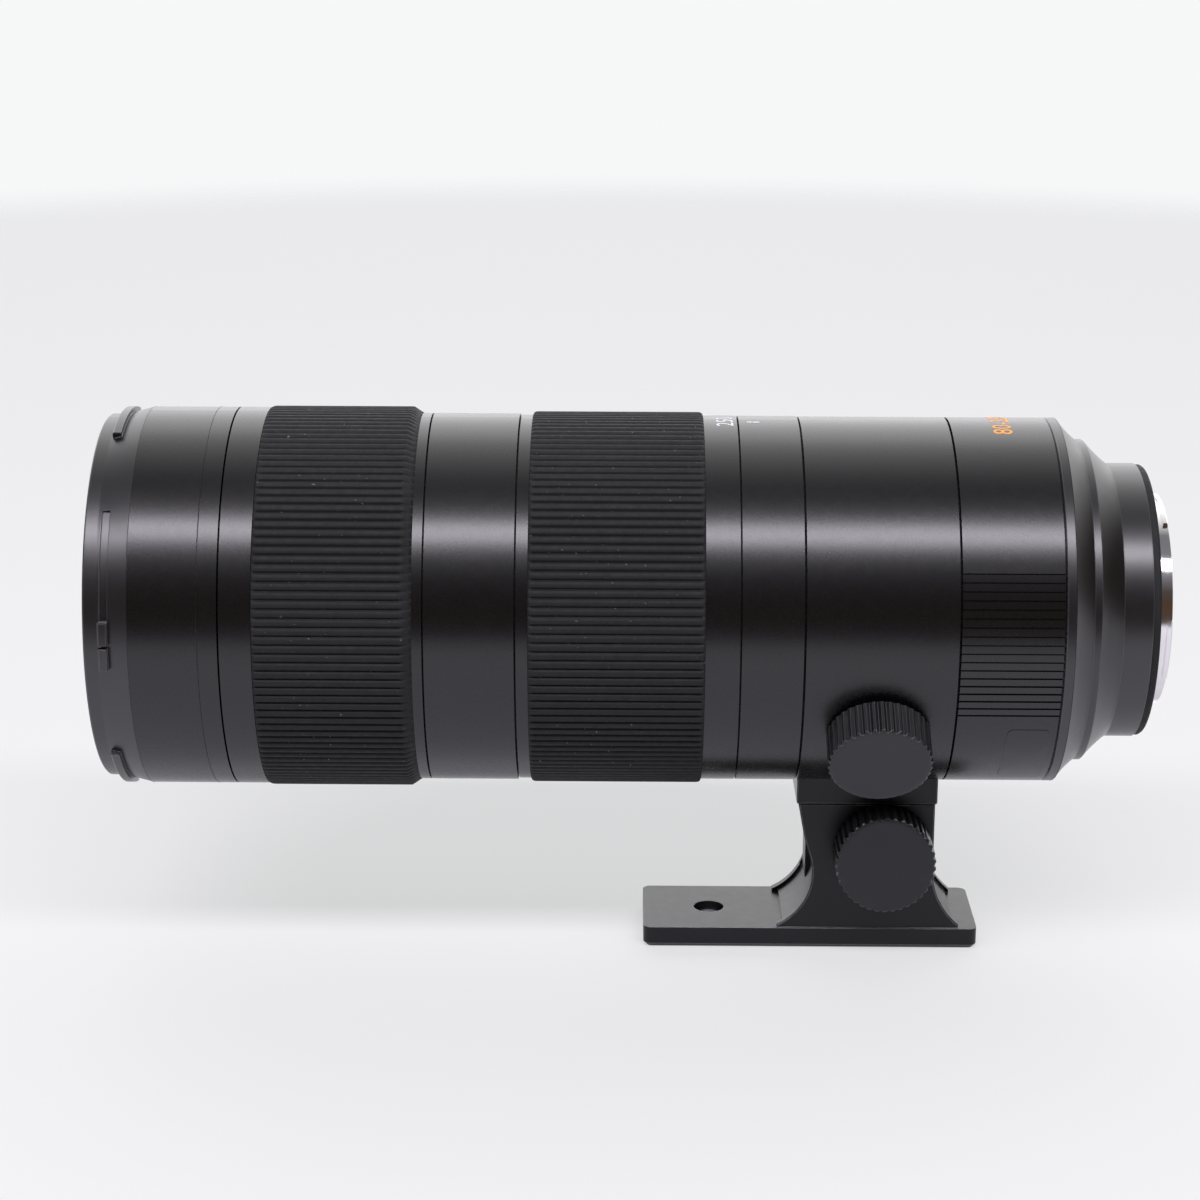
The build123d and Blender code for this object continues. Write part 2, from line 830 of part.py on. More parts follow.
# Guides of the zoom groups
x_guide_rear = -guide_plate_place + guide_plate_thickness
with BuildPart() as guide_plate:
    tube(-guide_plate_place, x_guide_rear, tube_bore - guide_plate_width, tube_bore)
guide_plate.part.label = "guide_plate"
export_step(guide_plate.part, "parts/guide_plate.step")

rod_angles = [0, 180]
with BuildPart() as guide_rods:
    rods(x_guide_rear, -iris_place, rod_radius, rod_circle, rod_angles)
guide_rods.part.label = "guide_rods"
export_step(guide_rods.part, "parts/guide_rods.step")


def zoom_group(place, glass_radius):
    """A sliding carriage: a ring with two holes that run on the guide rods."""
    front = place - group_thickness / 2
    rear = place + group_thickness / 2
    tube(front, rear, glass_radius, group_rim_radius)
    rods(front, rear, rod_radius + running_play, rod_circle, rod_angles, mode=Mode.SUBTRACT)
    radial_pins(place, follower_radius, follower_root, group_rim_radius + overrun, follower_places,
                mode=Mode.SUBTRACT)


with BuildPart() as variator_carriage:
    zoom_group(-variator_place, rod_circle - variator_glass_inset)
variator_carriage.part.label = "variator_carriage"
export_step(variator_carriage.part, "parts/variator_carriage.step")

with BuildPart() as variator_followers:
    radial_pins(-variator_place, follower_radius, follower_root, follower_tip, follower_places)
variator_followers.part.label = "variator_followers"
export_step(variator_followers.part, "parts/variator_followers.step")

with BuildPart() as variator_glass:
    glass(
        -variator_place - variator_glass_rim / 2,
        rod_circle - variator_glass_inset,
        variator_glass_rim,
        -variator_glass_hollow,
        -variator_glass_hollow,
    )
variator_glass.part.label = "variator_glass"
export_step(variator_glass.part, "parts/variator_glass.step")

with BuildPart() as compensator_carriage:
    zoom_group(-compensator_place, rod_circle - compensator_glass_inset)
compensator_carriage.part.label = "compensator_carriage"
export_step(compensator_carriage.part, "parts/compensator_carriage.step")

with BuildPart() as compensator_followers:
    radial_pins(-compensator_place, follower_radius, follower_root, follower_tip, follower_places)
compensator_followers.part.label = "compensator_followers"
export_step(compensator_followers.part, "parts/compensator_followers.step")

with BuildPart() as compensator_glass:
    glass(
        -compensator_place - compensator_glass_rim / 2,
        rod_circle - compensator_glass_inset,
        compensator_glass_rim,
        compensator_glass_bulge,
        compensator_glass_bulge,
    )
compensator_glass.part.label = "compensator_glass"
export_step(compensator_glass.part, "parts/compensator_glass.step")

# Iris: housing with pivot pins, blades in a stack, drive ring and cover
x_iris = -iris_place
x_iris_floor = x_iris + iris_base_thickness
x_stack = x_iris_floor + ring_gap
x_stack_end = x_stack + blade_count * blade_pitch
x_drive = x_stack_end + ring_gap
x_drive_end = x_drive + drive_ring_thickness
x_iris_cover = x_iris + iris_length - iris_cover_thickness
blade_angles = [360 / blade_count * blade for blade in range(blade_count)]
with BuildPart() as iris_housing:
    tube(x_iris, x_iris_floor, iris_bore_radius, tube_bore)
    tube(x_iris_floor, x_iris + iris_length, iris_inner_wall, tube_bore)
    rods(x_iris_floor, x_stack_end, blade_pin_radius, blade_pivot_circle, blade_angles)
iris_housing.part.label = "iris_housing"
export_step(iris_housing.part, "parts/iris_housing.step")

stud_rest = -blade_swing_angle / 2
stud_reach = blade_pivot_circle + blade_stud_arm * cos(radians(stud_rest))
stud_side = blade_stud_arm * sin(radians(stud_rest))
stud_turn = degrees(atan2(stud_side, stud_reach))
arm_middle = ((blade_pivot_circle + stud_reach) / 2, stud_side / 2)
for blade in range(blade_count):
    turn = blade_angles[blade]
    x_blade = x_stack + blade * blade_pitch
    blade_plane = Plane(
        origin=(x_blade, 0, 0),
        x_dir=(0, -sin(radians(turn)), cos(radians(turn))),
        z_dir=(1, 0, 0),
    )
    with BuildPart() as iris_blade:
        with BuildSketch(blade_plane):
            with BuildLine():
                leaf_end = blade_sweep_angle / 2
                outer = CenterArc((0, 0), blade_outside, 0, blade_sweep_angle)
                inner = CenterArc((0, 0), blade_inside, 0, blade_sweep_angle)
                Line(outer @ 0, inner @ 0)
                Line(outer @ 1, inner @ 1)
            make_face()
            with Locations((blade_pivot_circle, 0)):
                Circle(blade_neck_radius)
            with Locations(Location(arm_middle, stud_rest)):
                SlotCenterToCenter(blade_stud_arm, 2 * blade_head_radius)
            with Locations(((blade_pivot_circle + blade_inside) / 2, blade_neck_radius / 2)):
                Rectangle(blade_pivot_circle - blade_inside, blade_neck_radius)
            with Locations((blade_pivot_circle, 0)):
                Circle(blade_pin_radius + running_play, mode=Mode.SUBTRACT)
        extrude(amount=blade_thickness)
        with BuildSketch(blade_plane.offset(blade_thickness)):
            with Locations((stud_reach, stud_side)):
                Circle(blade_stud_radius)
        extrude(amount=x_drive_end - x_blade - blade_thickness)
    iris_blade.part.label = f"iris_blade_{blade + 1}"
    export_step(iris_blade.part, f"parts/iris_blade_{blade + 1}.step")

with BuildPart() as iris_drive_ring:
    tube(x_drive, x_drive_end, iris_inner_wall - drive_ring_width, iris_inner_wall - running_play)
    with BuildSketch(Plane.YZ.offset(x_drive)):
        for turn in blade_angles:
            angle = turn + 90 + stud_turn
            middle = (blade_pivot_circle + blade_stud_arm + stud_reach) / 2
            out = Vector(cos(radians(angle)), sin(radians(angle))) * middle
            with Locations(Location((out.X, out.Y), angle)):
                SlotCenterToCenter(
                    2 * (blade_stud_radius + drive_slot_play),
                    2 * (blade_stud_radius + drive_slot_play),
                )
    extrude(amount=drive_ring_thickness, mode=Mode.SUBTRACT)
iris_drive_ring.part.label = "iris_drive_ring"
export_step(iris_drive_ring.part, "parts/iris_drive_ring.step")

with BuildPart() as iris_cover:
    tube(x_iris_cover, x_iris + iris_length, iris_bore_radius, iris_inner_wall)
iris_cover.part.label = "iris_cover"
export_step(iris_cover.part, "parts/iris_cover.step")

# Relay cell, focusing group, motor, lead screw and circuit board
x_relay = -relay_place
x_relay_rear = x_relay + relay_thickness
with BuildPart() as relay_cell:
    tube(x_relay, x_relay_rear, relay_bore_radius, tube_bore)
relay_cell.part.label = "relay_cell"
export_step(relay_cell.part, "parts/relay_cell.step")

with BuildPart() as relay_element:
    glass(
        x_relay + relay_glass_bulge,
        relay_bore_radius,
        relay_glass_rim,
        relay_glass_bulge,
        relay_glass_bulge,
    )
relay_element.part.label = "relay_element"
export_step(relay_element.part, "parts/relay_element.step")

motor_angle = 270
with BuildPart() as focus_motor:
    rods(x_relay_rear, x_relay_rear + motor_length, motor_radius, motor_ring, [motor_angle])
focus_motor.part.label = "focus_motor"
export_step(focus_motor.part, "parts/focus_motor.step")

with BuildPart() as focus_screw:
    rods(x_relay_rear + motor_length, x_cone, screw_radius, motor_ring, [motor_angle])
focus_screw.part.label = "focus_screw"
export_step(focus_screw.part, "parts/focus_screw.step")

focus_rod_angles = [60, 180]
with BuildPart() as focus_rods:
    rods(x_relay_rear, x_cone, rod_radius, focus_rod_ring, focus_rod_angles)
focus_rods.part.label = "focus_rods"
export_step(focus_rods.part, "parts/focus_rods.step")

x_group = -focus_group_place
with BuildPart() as focus_carriage:
    tube(x_group, x_group + focus_group_thickness, focus_bore_radius, focus_group_radius)
    rods(
        x_group,
        x_group + focus_group_thickness,
        rod_radius + running_play,
        focus_rod_ring,
        focus_rod_angles,
        mode=Mode.SUBTRACT,
    )
    rods(
        x_group,
        x_group + focus_group_thickness,
        screw_radius + running_play,
        motor_ring,
        [motor_angle],
        mode=Mode.SUBTRACT,
    )
focus_carriage.part.label = "focus_carriage"
export_step(focus_carriage.part, "parts/focus_carriage.step")

with BuildPart() as focus_element:
    glass(
        x_group + (focus_group_thickness - focus_glass_rim) / 2,
        focus_bore_radius,
        focus_glass_rim,
        -focus_glass_hollow,
        -focus_glass_hollow,
    )
focus_element.part.label = "focus_element"
export_step(focus_element.part, "parts/focus_element.step")

with BuildPart() as circuit_board:
    tube(x_cone, x_cone + board_thickness, board_radius - board_width, board_radius)
circuit_board.part.label = "circuit_board"
export_step(circuit_board.part, "parts/circuit_board.step")

# Tripod collar with its block, dovetail rail, and a pocket for the brake pad
block_front = x_collar + block_set_in
block_rear = x_rear - block_set_in
rail_bottom = -block_drop - rail_height
knob_out = Vector(0, -sin(radians(collar_knob_angle)), cos(radians(collar_knob_angle)))
knob_bore = knob_stud_radius + running_play
pad_floor = turning_bore + pad_pocket_depth
with BuildPart() as tripod_collar:
    with BuildSketch(Plane.YZ.offset(block_front)):
        with BuildLine():
            Polyline(
                (-block_half_width, 0),
                (-block_half_width, -block_drop + block_chamfer),
                (-block_half_width + block_chamfer, -block_drop),
                (-rail_half_width, -block_drop),
                (-rail_foot_half_width, rail_bottom),
                (rail_foot_half_width, rail_bottom),
                (rail_half_width, -block_drop),
                (block_half_width - block_chamfer, -block_drop),
                (block_half_width, -block_drop + block_chamfer),
                (block_half_width, 0),
                close=True,
            )
        make_face()
    extrude(amount=block_rear - block_front)
    tube(x_collar + seam, x_rear - seam, turning_bore - overrun, band_radius)
    tube(x_collar, x_rear, 0, turning_bore, mode=Mode.SUBTRACT)
    radial_pins(x_collar_mid, pad_radius + running_play, tube_radius - overrun, pad_floor,
                [collar_knob_angle], mode=Mode.SUBTRACT)
    radial_pins(x_collar_mid, knob_bore, tube_radius - overrun, band_radius + overrun,
                [collar_knob_angle], mode=Mode.SUBTRACT)
tripod_collar.part.label = "tripod_collar"
export_step(tripod_collar.part, "parts/tripod_collar.step")

knob_base = band_radius + collar_knob_gap
pad_back = turning_bore + pad_thickness
with BuildPart() as collar_knob:
    base_plane = Plane(origin=Vector(x_collar_mid, 0, 0) + knob_out * knob_base, x_dir=(1, 0, 0),
                       z_dir=knob_out)
    knob(base_plane, collar_knob_length)
    with BuildSketch(base_plane):
        Circle(knob_stud_radius)
    extrude(amount=pad_back + running_play - knob_base)
collar_knob.part.label = "collar_knob"
export_step(collar_knob.part, "parts/collar_knob.step")

with BuildPart() as collar_pad:
    radial_pins(x_collar_mid, pad_radius, tube_radius - overrun, pad_back, [collar_knob_angle])
    tube(x_collar, x_rear, 0, turning_bore, mode=Mode.SUBTRACT)
collar_pad.part.label = "collar_pad"
export_step(collar_pad.part, "parts/collar_pad.step")


def stem_outline(inset):
    """Half face of the stem's side: flared foot, narrow waist, and a forward lean to the top."""
    lip = -plate_drop + flare_lip
    front_radius = front_flare_radius + inset
    rear_radius = rear_flare_radius + inset
    waist_front = x_collar_mid - stem_waist_front + inset
    waist_rear = x_collar_mid + stem_waist_rear - inset
    top = -block_drop - stem_gap
    front_drop = lip + stem_waist_front_drop
    rear_drop = lip + stem_waist_rear_drop
    front_turn = degrees(asin(-front_drop / front_radius))
    rear_turn = degrees(asin(-rear_drop / rear_radius))
    with BuildLine() as outline:
        front_flare = CenterArc((waist_front - front_radius, -stem_waist_front_drop), front_radius,
                                -front_turn, front_turn)
        rear_flare = CenterArc((waist_rear + rear_radius, -stem_waist_rear_drop), rear_radius,
                               180, rear_turn)
        front_top = (x_collar_mid - stem_front_top + inset, top)
        Spline(
            front_flare @ 1,
            (x_collar_mid - stem_front_mid + inset, -stem_front_mid_drop),
            front_top,
            tangents=[(0, 1), (-stem_front_top + stem_front_mid, stem_front_mid_drop + top)],
        )
        Polyline(front_top, (waist_rear, top), rear_flare @ 0)
        Polyline(
            front_flare @ 0,
            ((front_flare @ 0).X, -plate_drop),
            ((rear_flare @ 1).X, -plate_drop),
            rear_flare @ 1,
        )
    make_face(outline.edges())


def jaw_outline(play):
    """Cross-section of the clamp jaw: a block below the rail with a hook up its far side."""
    slant = (rail_foot_half_width - rail_half_width) / rail_height
    step = rail_bottom - rail_play - jaw_play + play
    top = -block_drop - stem_gap
    hook_foot = rail_half_width + slant * (-block_drop - step) + rail_play - play
    hook_top = rail_half_width + slant * stem_gap + rail_play - play
    with BuildLine() as outline:
        Polyline(
            (jaw_near - play, -jaw_drop - play),
            (jaw_near - play, step),
            (hook_foot, step),
            (hook_top, top),
            (jaw_far + play, top),
            (jaw_far + play, -jaw_drop - play),
            close=True,
        )
    make_face(outline.edges())


# Foot: plate with threaded sockets, flared stem, rail slot and jaw pocket
foot_knob_x = x_collar_mid + foot_knob_shift
plate_front = x_collar_mid - plate_front_reach
plate_rear = x_collar_mid + plate_rear_reach
socket_x = plate_front + socket_set_back
large_socket_x = x_collar_mid + large_socket_shift
plate_bottom = -plate_drop - plate_thickness
with BuildPart() as tripod_foot:
    with BuildSketch(Plane.XZ.offset(stem_near)):
        stem_outline(flare_recess)
    extrude(amount=-stem_near - stem_far)
    with BuildSketch(Plane.XZ.offset(stem_near)):
        stem_outline(0)
    extrude(amount=-rim_width_near)
    with BuildSketch(Plane.XZ.offset(-stem_far)):
        stem_outline(0)
    extrude(amount=rim_width_far)
    sides = faces().sort_by(Axis.Y)
    for side in (sides.first, sides.last):
        chamfer(side.edges().filter_by(GeomType.CIRCLE) + side.edges().filter_by(GeomType.BSPLINE), edge)
    with BuildSketch(Plane.XY.offset(plate_bottom)):
        with Locations(((plate_front + plate_rear) / 2, 0)):
            RectangleRounded(plate_rear - plate_front, 2 * plate_half_width, plate_corner)
    extrude(amount=plate_thickness)
    rims = faces().filter_by(Axis.Z).sort_by(Axis.Z)
    chamfer(rims.first.edges(), plate_edge)
    rail_cut_foot = rail_foot_half_width + rail_play
    rail_cut_top = rail_half_width + rail_play
    with BuildSketch(Plane.YZ.offset(plate_front)):
        with BuildLine():
            Polyline(
                (-rail_cut_top, -block_drop),
                (-rail_cut_foot, rail_bottom - rail_play),
                (rail_cut_foot, rail_bottom - rail_play),
                (rail_cut_top, -block_drop),
                close=True,
            )
        make_face()
    extrude(amount=plate_rear - plate_front, mode=Mode.SUBTRACT)
    with BuildSketch(Plane.YZ.offset(plate_front)):
        with BuildLine():
            Polyline(
                (jaw_near - jaw_play, -jaw_drop - jaw_play),
                (jaw_near - jaw_play, rail_bottom),
                (rail_half_width, rail_bottom),
                (rail_half_width, -block_drop),
                (jaw_far + jaw_travel + jaw_play, -block_drop),
                (jaw_far + jaw_travel + jaw_play, -jaw_drop - jaw_play),
                close=True,
            )
        make_face()
    extrude(amount=plate_rear - plate_front, mode=Mode.SUBTRACT)
    with BuildSketch(Plane.XZ.offset(stem_near)):
        with Locations((foot_knob_x, -foot_knob_drop)):
            Circle(knob_bore)
    extrude(amount=-stem_near - jaw_near, mode=Mode.SUBTRACT)
    with BuildSketch(Plane.XY.offset(plate_bottom)):
        with Locations((socket_x, 0)):
            Circle(socket_hole_radius)
    extrude(amount=plate_thickness, mode=Mode.SUBTRACT)
    with BuildSketch(Plane.XY.offset(plate_bottom)):
        with Locations((large_socket_x, 0)):
            Circle(large_thread_radius)
    extrude(amount=large_thread_depth, mode=Mode.SUBTRACT)
tripod_foot.part.label = "tripod_foot"
export_step(tripod_foot.part, "parts/tripod_foot.step")

with BuildPart() as small_socket:
    with BuildSketch(Plane.XY.offset(plate_bottom)):
        with Locations((socket_x, 0)):
            Circle(socket_hole_radius)
            Circle(small_thread_radius, mode=Mode.SUBTRACT)
    extrude(amount=socket_length)
small_socket.part.label = "small_socket"
export_step(small_socket.part, "parts/small_socket.step")

jaw_length = jaw_front_reach + jaw_rear_reach
with BuildPart() as clamp_jaw:
    with BuildSketch(Plane.YZ.offset(x_collar_mid - jaw_front_reach)):
        jaw_outline(0)
    extrude(amount=jaw_length)
    with BuildSketch(Plane.XZ):
        with Locations((foot_knob_x, -foot_knob_drop)):
            Circle(knob_bore)
    extrude(amount=-jaw_far, mode=Mode.SUBTRACT)
clamp_jaw.part.label = "clamp_jaw"
export_step(clamp_jaw.part, "parts/clamp_jaw.step")

with BuildPart() as foot_knob:
    base_plane = Plane(origin=(foot_knob_x, -stem_near - foot_knob_gap, -foot_knob_drop),
                       x_dir=(1, 0, 0), z_dir=(0, -1, 0))
    knob(base_plane, foot_knob_length)
    with BuildSketch(base_plane):
        Circle(knob_stud_radius)
    extrude(amount=-stem_near - foot_knob_gap - jaw_far + jaw_play)
foot_knob.part.label = "foot_knob"
export_step(foot_knob.part, "parts/foot_knob.step")
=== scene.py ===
import math

import bmesh
import bpy
import numpy as np
from mathutils import Matrix, Vector


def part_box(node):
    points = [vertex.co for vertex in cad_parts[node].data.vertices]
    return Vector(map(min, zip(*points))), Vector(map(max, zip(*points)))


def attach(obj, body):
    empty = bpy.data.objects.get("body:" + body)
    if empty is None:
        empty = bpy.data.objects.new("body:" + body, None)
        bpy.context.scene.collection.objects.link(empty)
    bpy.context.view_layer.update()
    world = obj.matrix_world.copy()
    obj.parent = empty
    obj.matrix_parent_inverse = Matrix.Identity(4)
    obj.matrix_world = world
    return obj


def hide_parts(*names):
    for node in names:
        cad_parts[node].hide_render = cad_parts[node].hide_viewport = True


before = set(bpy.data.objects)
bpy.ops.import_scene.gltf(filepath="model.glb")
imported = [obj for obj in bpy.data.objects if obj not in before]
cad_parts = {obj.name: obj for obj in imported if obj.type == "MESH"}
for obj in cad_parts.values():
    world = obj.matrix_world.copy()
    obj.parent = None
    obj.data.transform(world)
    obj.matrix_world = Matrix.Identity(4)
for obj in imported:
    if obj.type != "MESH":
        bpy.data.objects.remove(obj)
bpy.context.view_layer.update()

mm = 0.001
print("stage: frame loaded,", len(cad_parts), "solids")

# Camera: it stands beside the lens and looks down at it. Places are in mm and angles in degrees
camera = {
    "place": (-119.21, -658.12, 181.67),
    "turnLeft": -0.489,      # from straight across the lens
    "lookDown": 15.5,
    "roll": 0.187,
    "lens": 87.95,
    "sensor": 36.0,
    "clip": (0.01, 50.0),    # nearest and farthest seen, in m
}


# The three axes come from the turn and the tilt, and then roll about the line of sight
def placeCamera(spec):
    yaw, pitch, roll = (math.radians(spec[key]) for key in ("turnLeft", "lookDown", "roll"))
    forward = Vector((math.sin(yaw) * math.cos(pitch), math.cos(yaw) * math.cos(pitch), -math.sin(pitch)))
    side = Vector((math.cos(yaw), -math.sin(yaw), 0))
    top = side.cross(forward)
    turnedSide = side * math.cos(roll) + top * math.sin(roll)
    turnedTop = top * math.cos(roll) - side * math.sin(roll)
    data = bpy.data.cameras.new("viewCamera")
    data.lens = spec["lens"]
    data.sensor_width = spec["sensor"]
    data.clip_start, data.clip_end = spec["clip"]
    holder = bpy.data.objects.new("viewCamera", data)
    axes = Matrix((turnedSide, turnedTop, -forward)).transposed().to_4x4()
    holder.matrix_world = Matrix.Translation(Vector(spec["place"]) * mm) @ axes
    bpy.context.scene.collection.objects.link(holder)
    bpy.context.scene.camera = holder


placeCamera(camera)

# Studio: one long softbox above the camera side and a wide one low behind, in a room drawn on the world
studio = {
    "middle": (-119.0, 0.0, 0.0),
    "lamps": {
        # name: elevation from the camera side, distance, length along the lens, height, watts, colour
        "keySoftbox": (54.0, 1500.0, 2800.0, 300.0, 31.5, (0.955, 0.915, 1.0)),
        "rearSoftbox": (152.0, 1700.0, 2400.0, 1450.0, 7.0, (0.955, 0.945, 1.0)),
    },
    "worldStrength": 1.0,
    "worldTones": [
        # height of the direction on the camera side, from straight down to straight up, and its tone
        (0.0, (0.50, 0.50, 0.53)),
        (0.35, (0.17, 0.17, 0.18)),
        (0.46, (0.085, 0.055, 0.040)),
        (0.60, (0.075, 0.045, 0.030)),
        (0.70, (0.075, 0.060, 0.055)),
        (0.82, (0.17, 0.17, 0.19)),
        (1.0, (0.20, 0.20, 0.225)),
    ],
    "backTone": 1.4,
    "backFrom": -0.05,       # depth of the direction where the white behind begins, and where it is full
    "backFull": 0.55,
    "backNarrowing": 0.35,   # how fast that white gives way to the dark room at the left and right
    "farTone": (0.925, 0.935, 0.938),
    "floorDrop": -81.9,
    "floorSink": 0.05,       # the foot stands just above the floor
    "floorMiddle": (-119.0, 470.0),
    "floorReach": 980.0,
    "floorFade": 200.0,      # width of the rim that turns clear
    "floorFadeEnd": 0.99,
    "floorRings": 24,
    "floorTurns": 96,
    "floorTone": (0.72, 0.72, 0.72),
    "floorRough": 0.85,
    "floorShine": 0.2,
    "floorGlow": 0.54,       # share of plain white that the camera and reflections see
    "paintedReflectionTones": [
        # place across the floor in mm from under the lens, and the colour that reflections see there:
        # painted shade under the lens, painted light further behind it
        (-60.0, (0.86, 0.84, 0.98)),
        (-20.0, (0.64, 0.62, 0.72)),
        (35.0, (0.66, 0.65, 0.73)),
        (85.0, (1.65, 1.64, 1.75)),
    ],
}


# A lamp stands on an arc round the lens, and faces its middle
def hangLamp(name, middle, elevation, distance, length, height, watts, colour):
    data = bpy.data.lights.new(name, "AREA")
    data.shape = "RECTANGLE"
    data.size = length * mm
    data.size_y = height * mm
    data.energy = watts
    data.color = colour
    angle = math.radians(elevation)
    away = Vector((0, -math.cos(angle), math.sin(angle)))
    up = Vector((0, math.sin(angle), math.cos(angle)))
    side = up.cross(away)
    holder = bpy.data.objects.new(name, data)
    axes = Matrix((side, up, away)).transposed().to_4x4()
    holder.matrix_world = Matrix.Translation(Vector(middle) * mm + away * distance * mm) @ axes
    bpy.context.scene.collection.objects.link(holder)


for lampName, values in studio["lamps"].items():
    hangLamp(lampName, studio["middle"], *values)


# Each value is set as the node's own property, or else on its input of that name
def addNode(tree, kind, **values):
    node = tree.nodes.new(kind)
    for key, value in values.items():
        if hasattr(node, key):
            setattr(node, key, value)
        else:
            node.inputs[key.replace("_", " ")].default_value = value
    return node


# A range of the incoming value is spread over another one
def addRange(tree, taken, given=(0.0, 1.0)):
    return addNode(tree, "ShaderNodeMapRange",
                   From_Min=taken[0], From_Max=taken[1], To_Min=given[0], To_Max=given[1])


# The second colour replaces the first by the amount. A colour is a tuple or the output of a node
def mixColour(tree, amount, first, second):
    mixed = addNode(tree, "ShaderNodeMix", data_type="RGBA")
    tree.links.new(amount, mixed.inputs[0])
    for place, colour in ((6, first), (7, second)):
        if isinstance(colour, tuple):
            mixed.inputs[place].default_value = (*colour, 1)
        else:
            tree.links.new(colour, mixed.inputs[place])
    return mixed.outputs[2]


# Stops are a place from 0 to 1 and a colour
def setRamp(node, stops):
    ramp = node.color_ramp
    while len(ramp.elements) > len(stops):
        ramp.elements.remove(ramp.elements[-1])
    while len(ramp.elements) < len(stops):
        ramp.elements.new(0.5)
    for element, (place, tone) in zip(ramp.elements, stops):
        element.position = place
        element.color = (*tone, 1)


# The room: white behind the lens that narrows to the sides, and a dark band low on the camera side. The
# camera itself sees an even white
def paintWorld(spec):
    world = bpy.data.worlds.new("studioRoom")
    bpy.context.scene.world = world
    world.use_nodes = True
    tree = world.node_tree
    tree.nodes.clear()
    link = tree.links.new
    place = addNode(tree, "ShaderNodeTexCoord")
    parts = addNode(tree, "ShaderNodeSeparateXYZ")
    link(place.outputs["Generated"], parts.inputs[0])
    height = addRange(tree, (-1.0, 1.0))
    link(parts.outputs["Z"], height.inputs["Value"])
    near = addNode(tree, "ShaderNodeValToRGB")
    setRamp(near, spec["worldTones"])
    link(height.outputs["Result"], near.inputs[0])
    depth = addRange(tree, (spec["backFrom"], spec["backFull"]))
    aside = addNode(tree, "ShaderNodeMath", operation="ABSOLUTE")
    link(parts.outputs["X"], aside.inputs[0])
    inward = addNode(tree, "ShaderNodeMath", operation="MULTIPLY_ADD")
    link(aside.outputs[0], inward.inputs[0])
    inward.inputs[1].default_value = -spec["backNarrowing"]
    link(parts.outputs["Y"], inward.inputs[2])
    link(inward.outputs[0], depth.inputs["Value"])
    room = mixColour(tree, depth.outputs["Result"], near.outputs["Color"], (spec["backTone"],) * 3)
    path = addNode(tree, "ShaderNodeLightPath")
    seen = mixColour(tree, path.outputs["Is Camera Ray"], room, spec["farTone"])
    light = addNode(tree, "ShaderNodeBackground", Strength=spec["worldStrength"])
    link(seen, light.inputs["Color"])
    out = addNode(tree, "ShaderNodeOutputWorld")
    link(light.outputs[0], out.inputs[0])


paintWorld(studio)
bpy.context.scene.view_settings.view_transform = "Standard"

weldDistance = 2e-7          # points nearer than this are one, in m

# Faces that meet at more than these degrees keep a sharp edge
sharpFrom = {
    "floor": 35.0, "sleeve": 60.0, "band": 30.0, "prism": 20.0, "knob": 28.0, "patch": 30.0,
    "thread": 50.0, "glass": 30.0,
}


# Rows and columns of points become quads; the faces are turned outwards where the volume is negative
def surfacePiece(name, grid, kind, wrapRows=False, wrapCols=False, closed=True):
    rows, cols = grid.shape[:2]
    row, col = np.meshgrid(
        np.arange(rows if wrapRows else rows - 1), np.arange(cols if wrapCols else cols - 1), indexing="ij"
    )
    nextRow, nextCol = (row + 1) % rows, (col + 1) % cols
    quads = np.stack([
        row * cols + col, row * cols + nextCol, nextRow * cols + nextCol, nextRow * cols + col
    ], -1).reshape(-1, 4)
    points = grid.reshape(-1, 3)
    a, b, c, d = (points[quads[:, k]] for k in range(4))
    volume = (a * np.cross(b, c)).sum() + (a * np.cross(c, d)).sum()
    if (closed and volume < 0) or (not closed and np.cross(b - a, c - a)[:, 2].sum() < 0):
        quads = quads[:, ::-1]
    mesh = bpy.data.meshes.new(name)
    mesh.from_pydata(points.tolist(), [], quads.tolist())
    shape = bmesh.new()
    shape.from_mesh(mesh)
    bmesh.ops.remove_doubles(shape, verts=shape.verts, dist=weldDistance)
    shape.to_mesh(mesh)
    shape.free()
    mesh.polygons.foreach_set("use_smooth", np.ones(len(mesh.polygons), bool))
    mesh.set_sharp_from_angle(angle=math.radians(sharpFrom[kind]))
    piece = bpy.data.objects.new(name, mesh)
    bpy.context.scene.collection.objects.link(piece)
    return piece


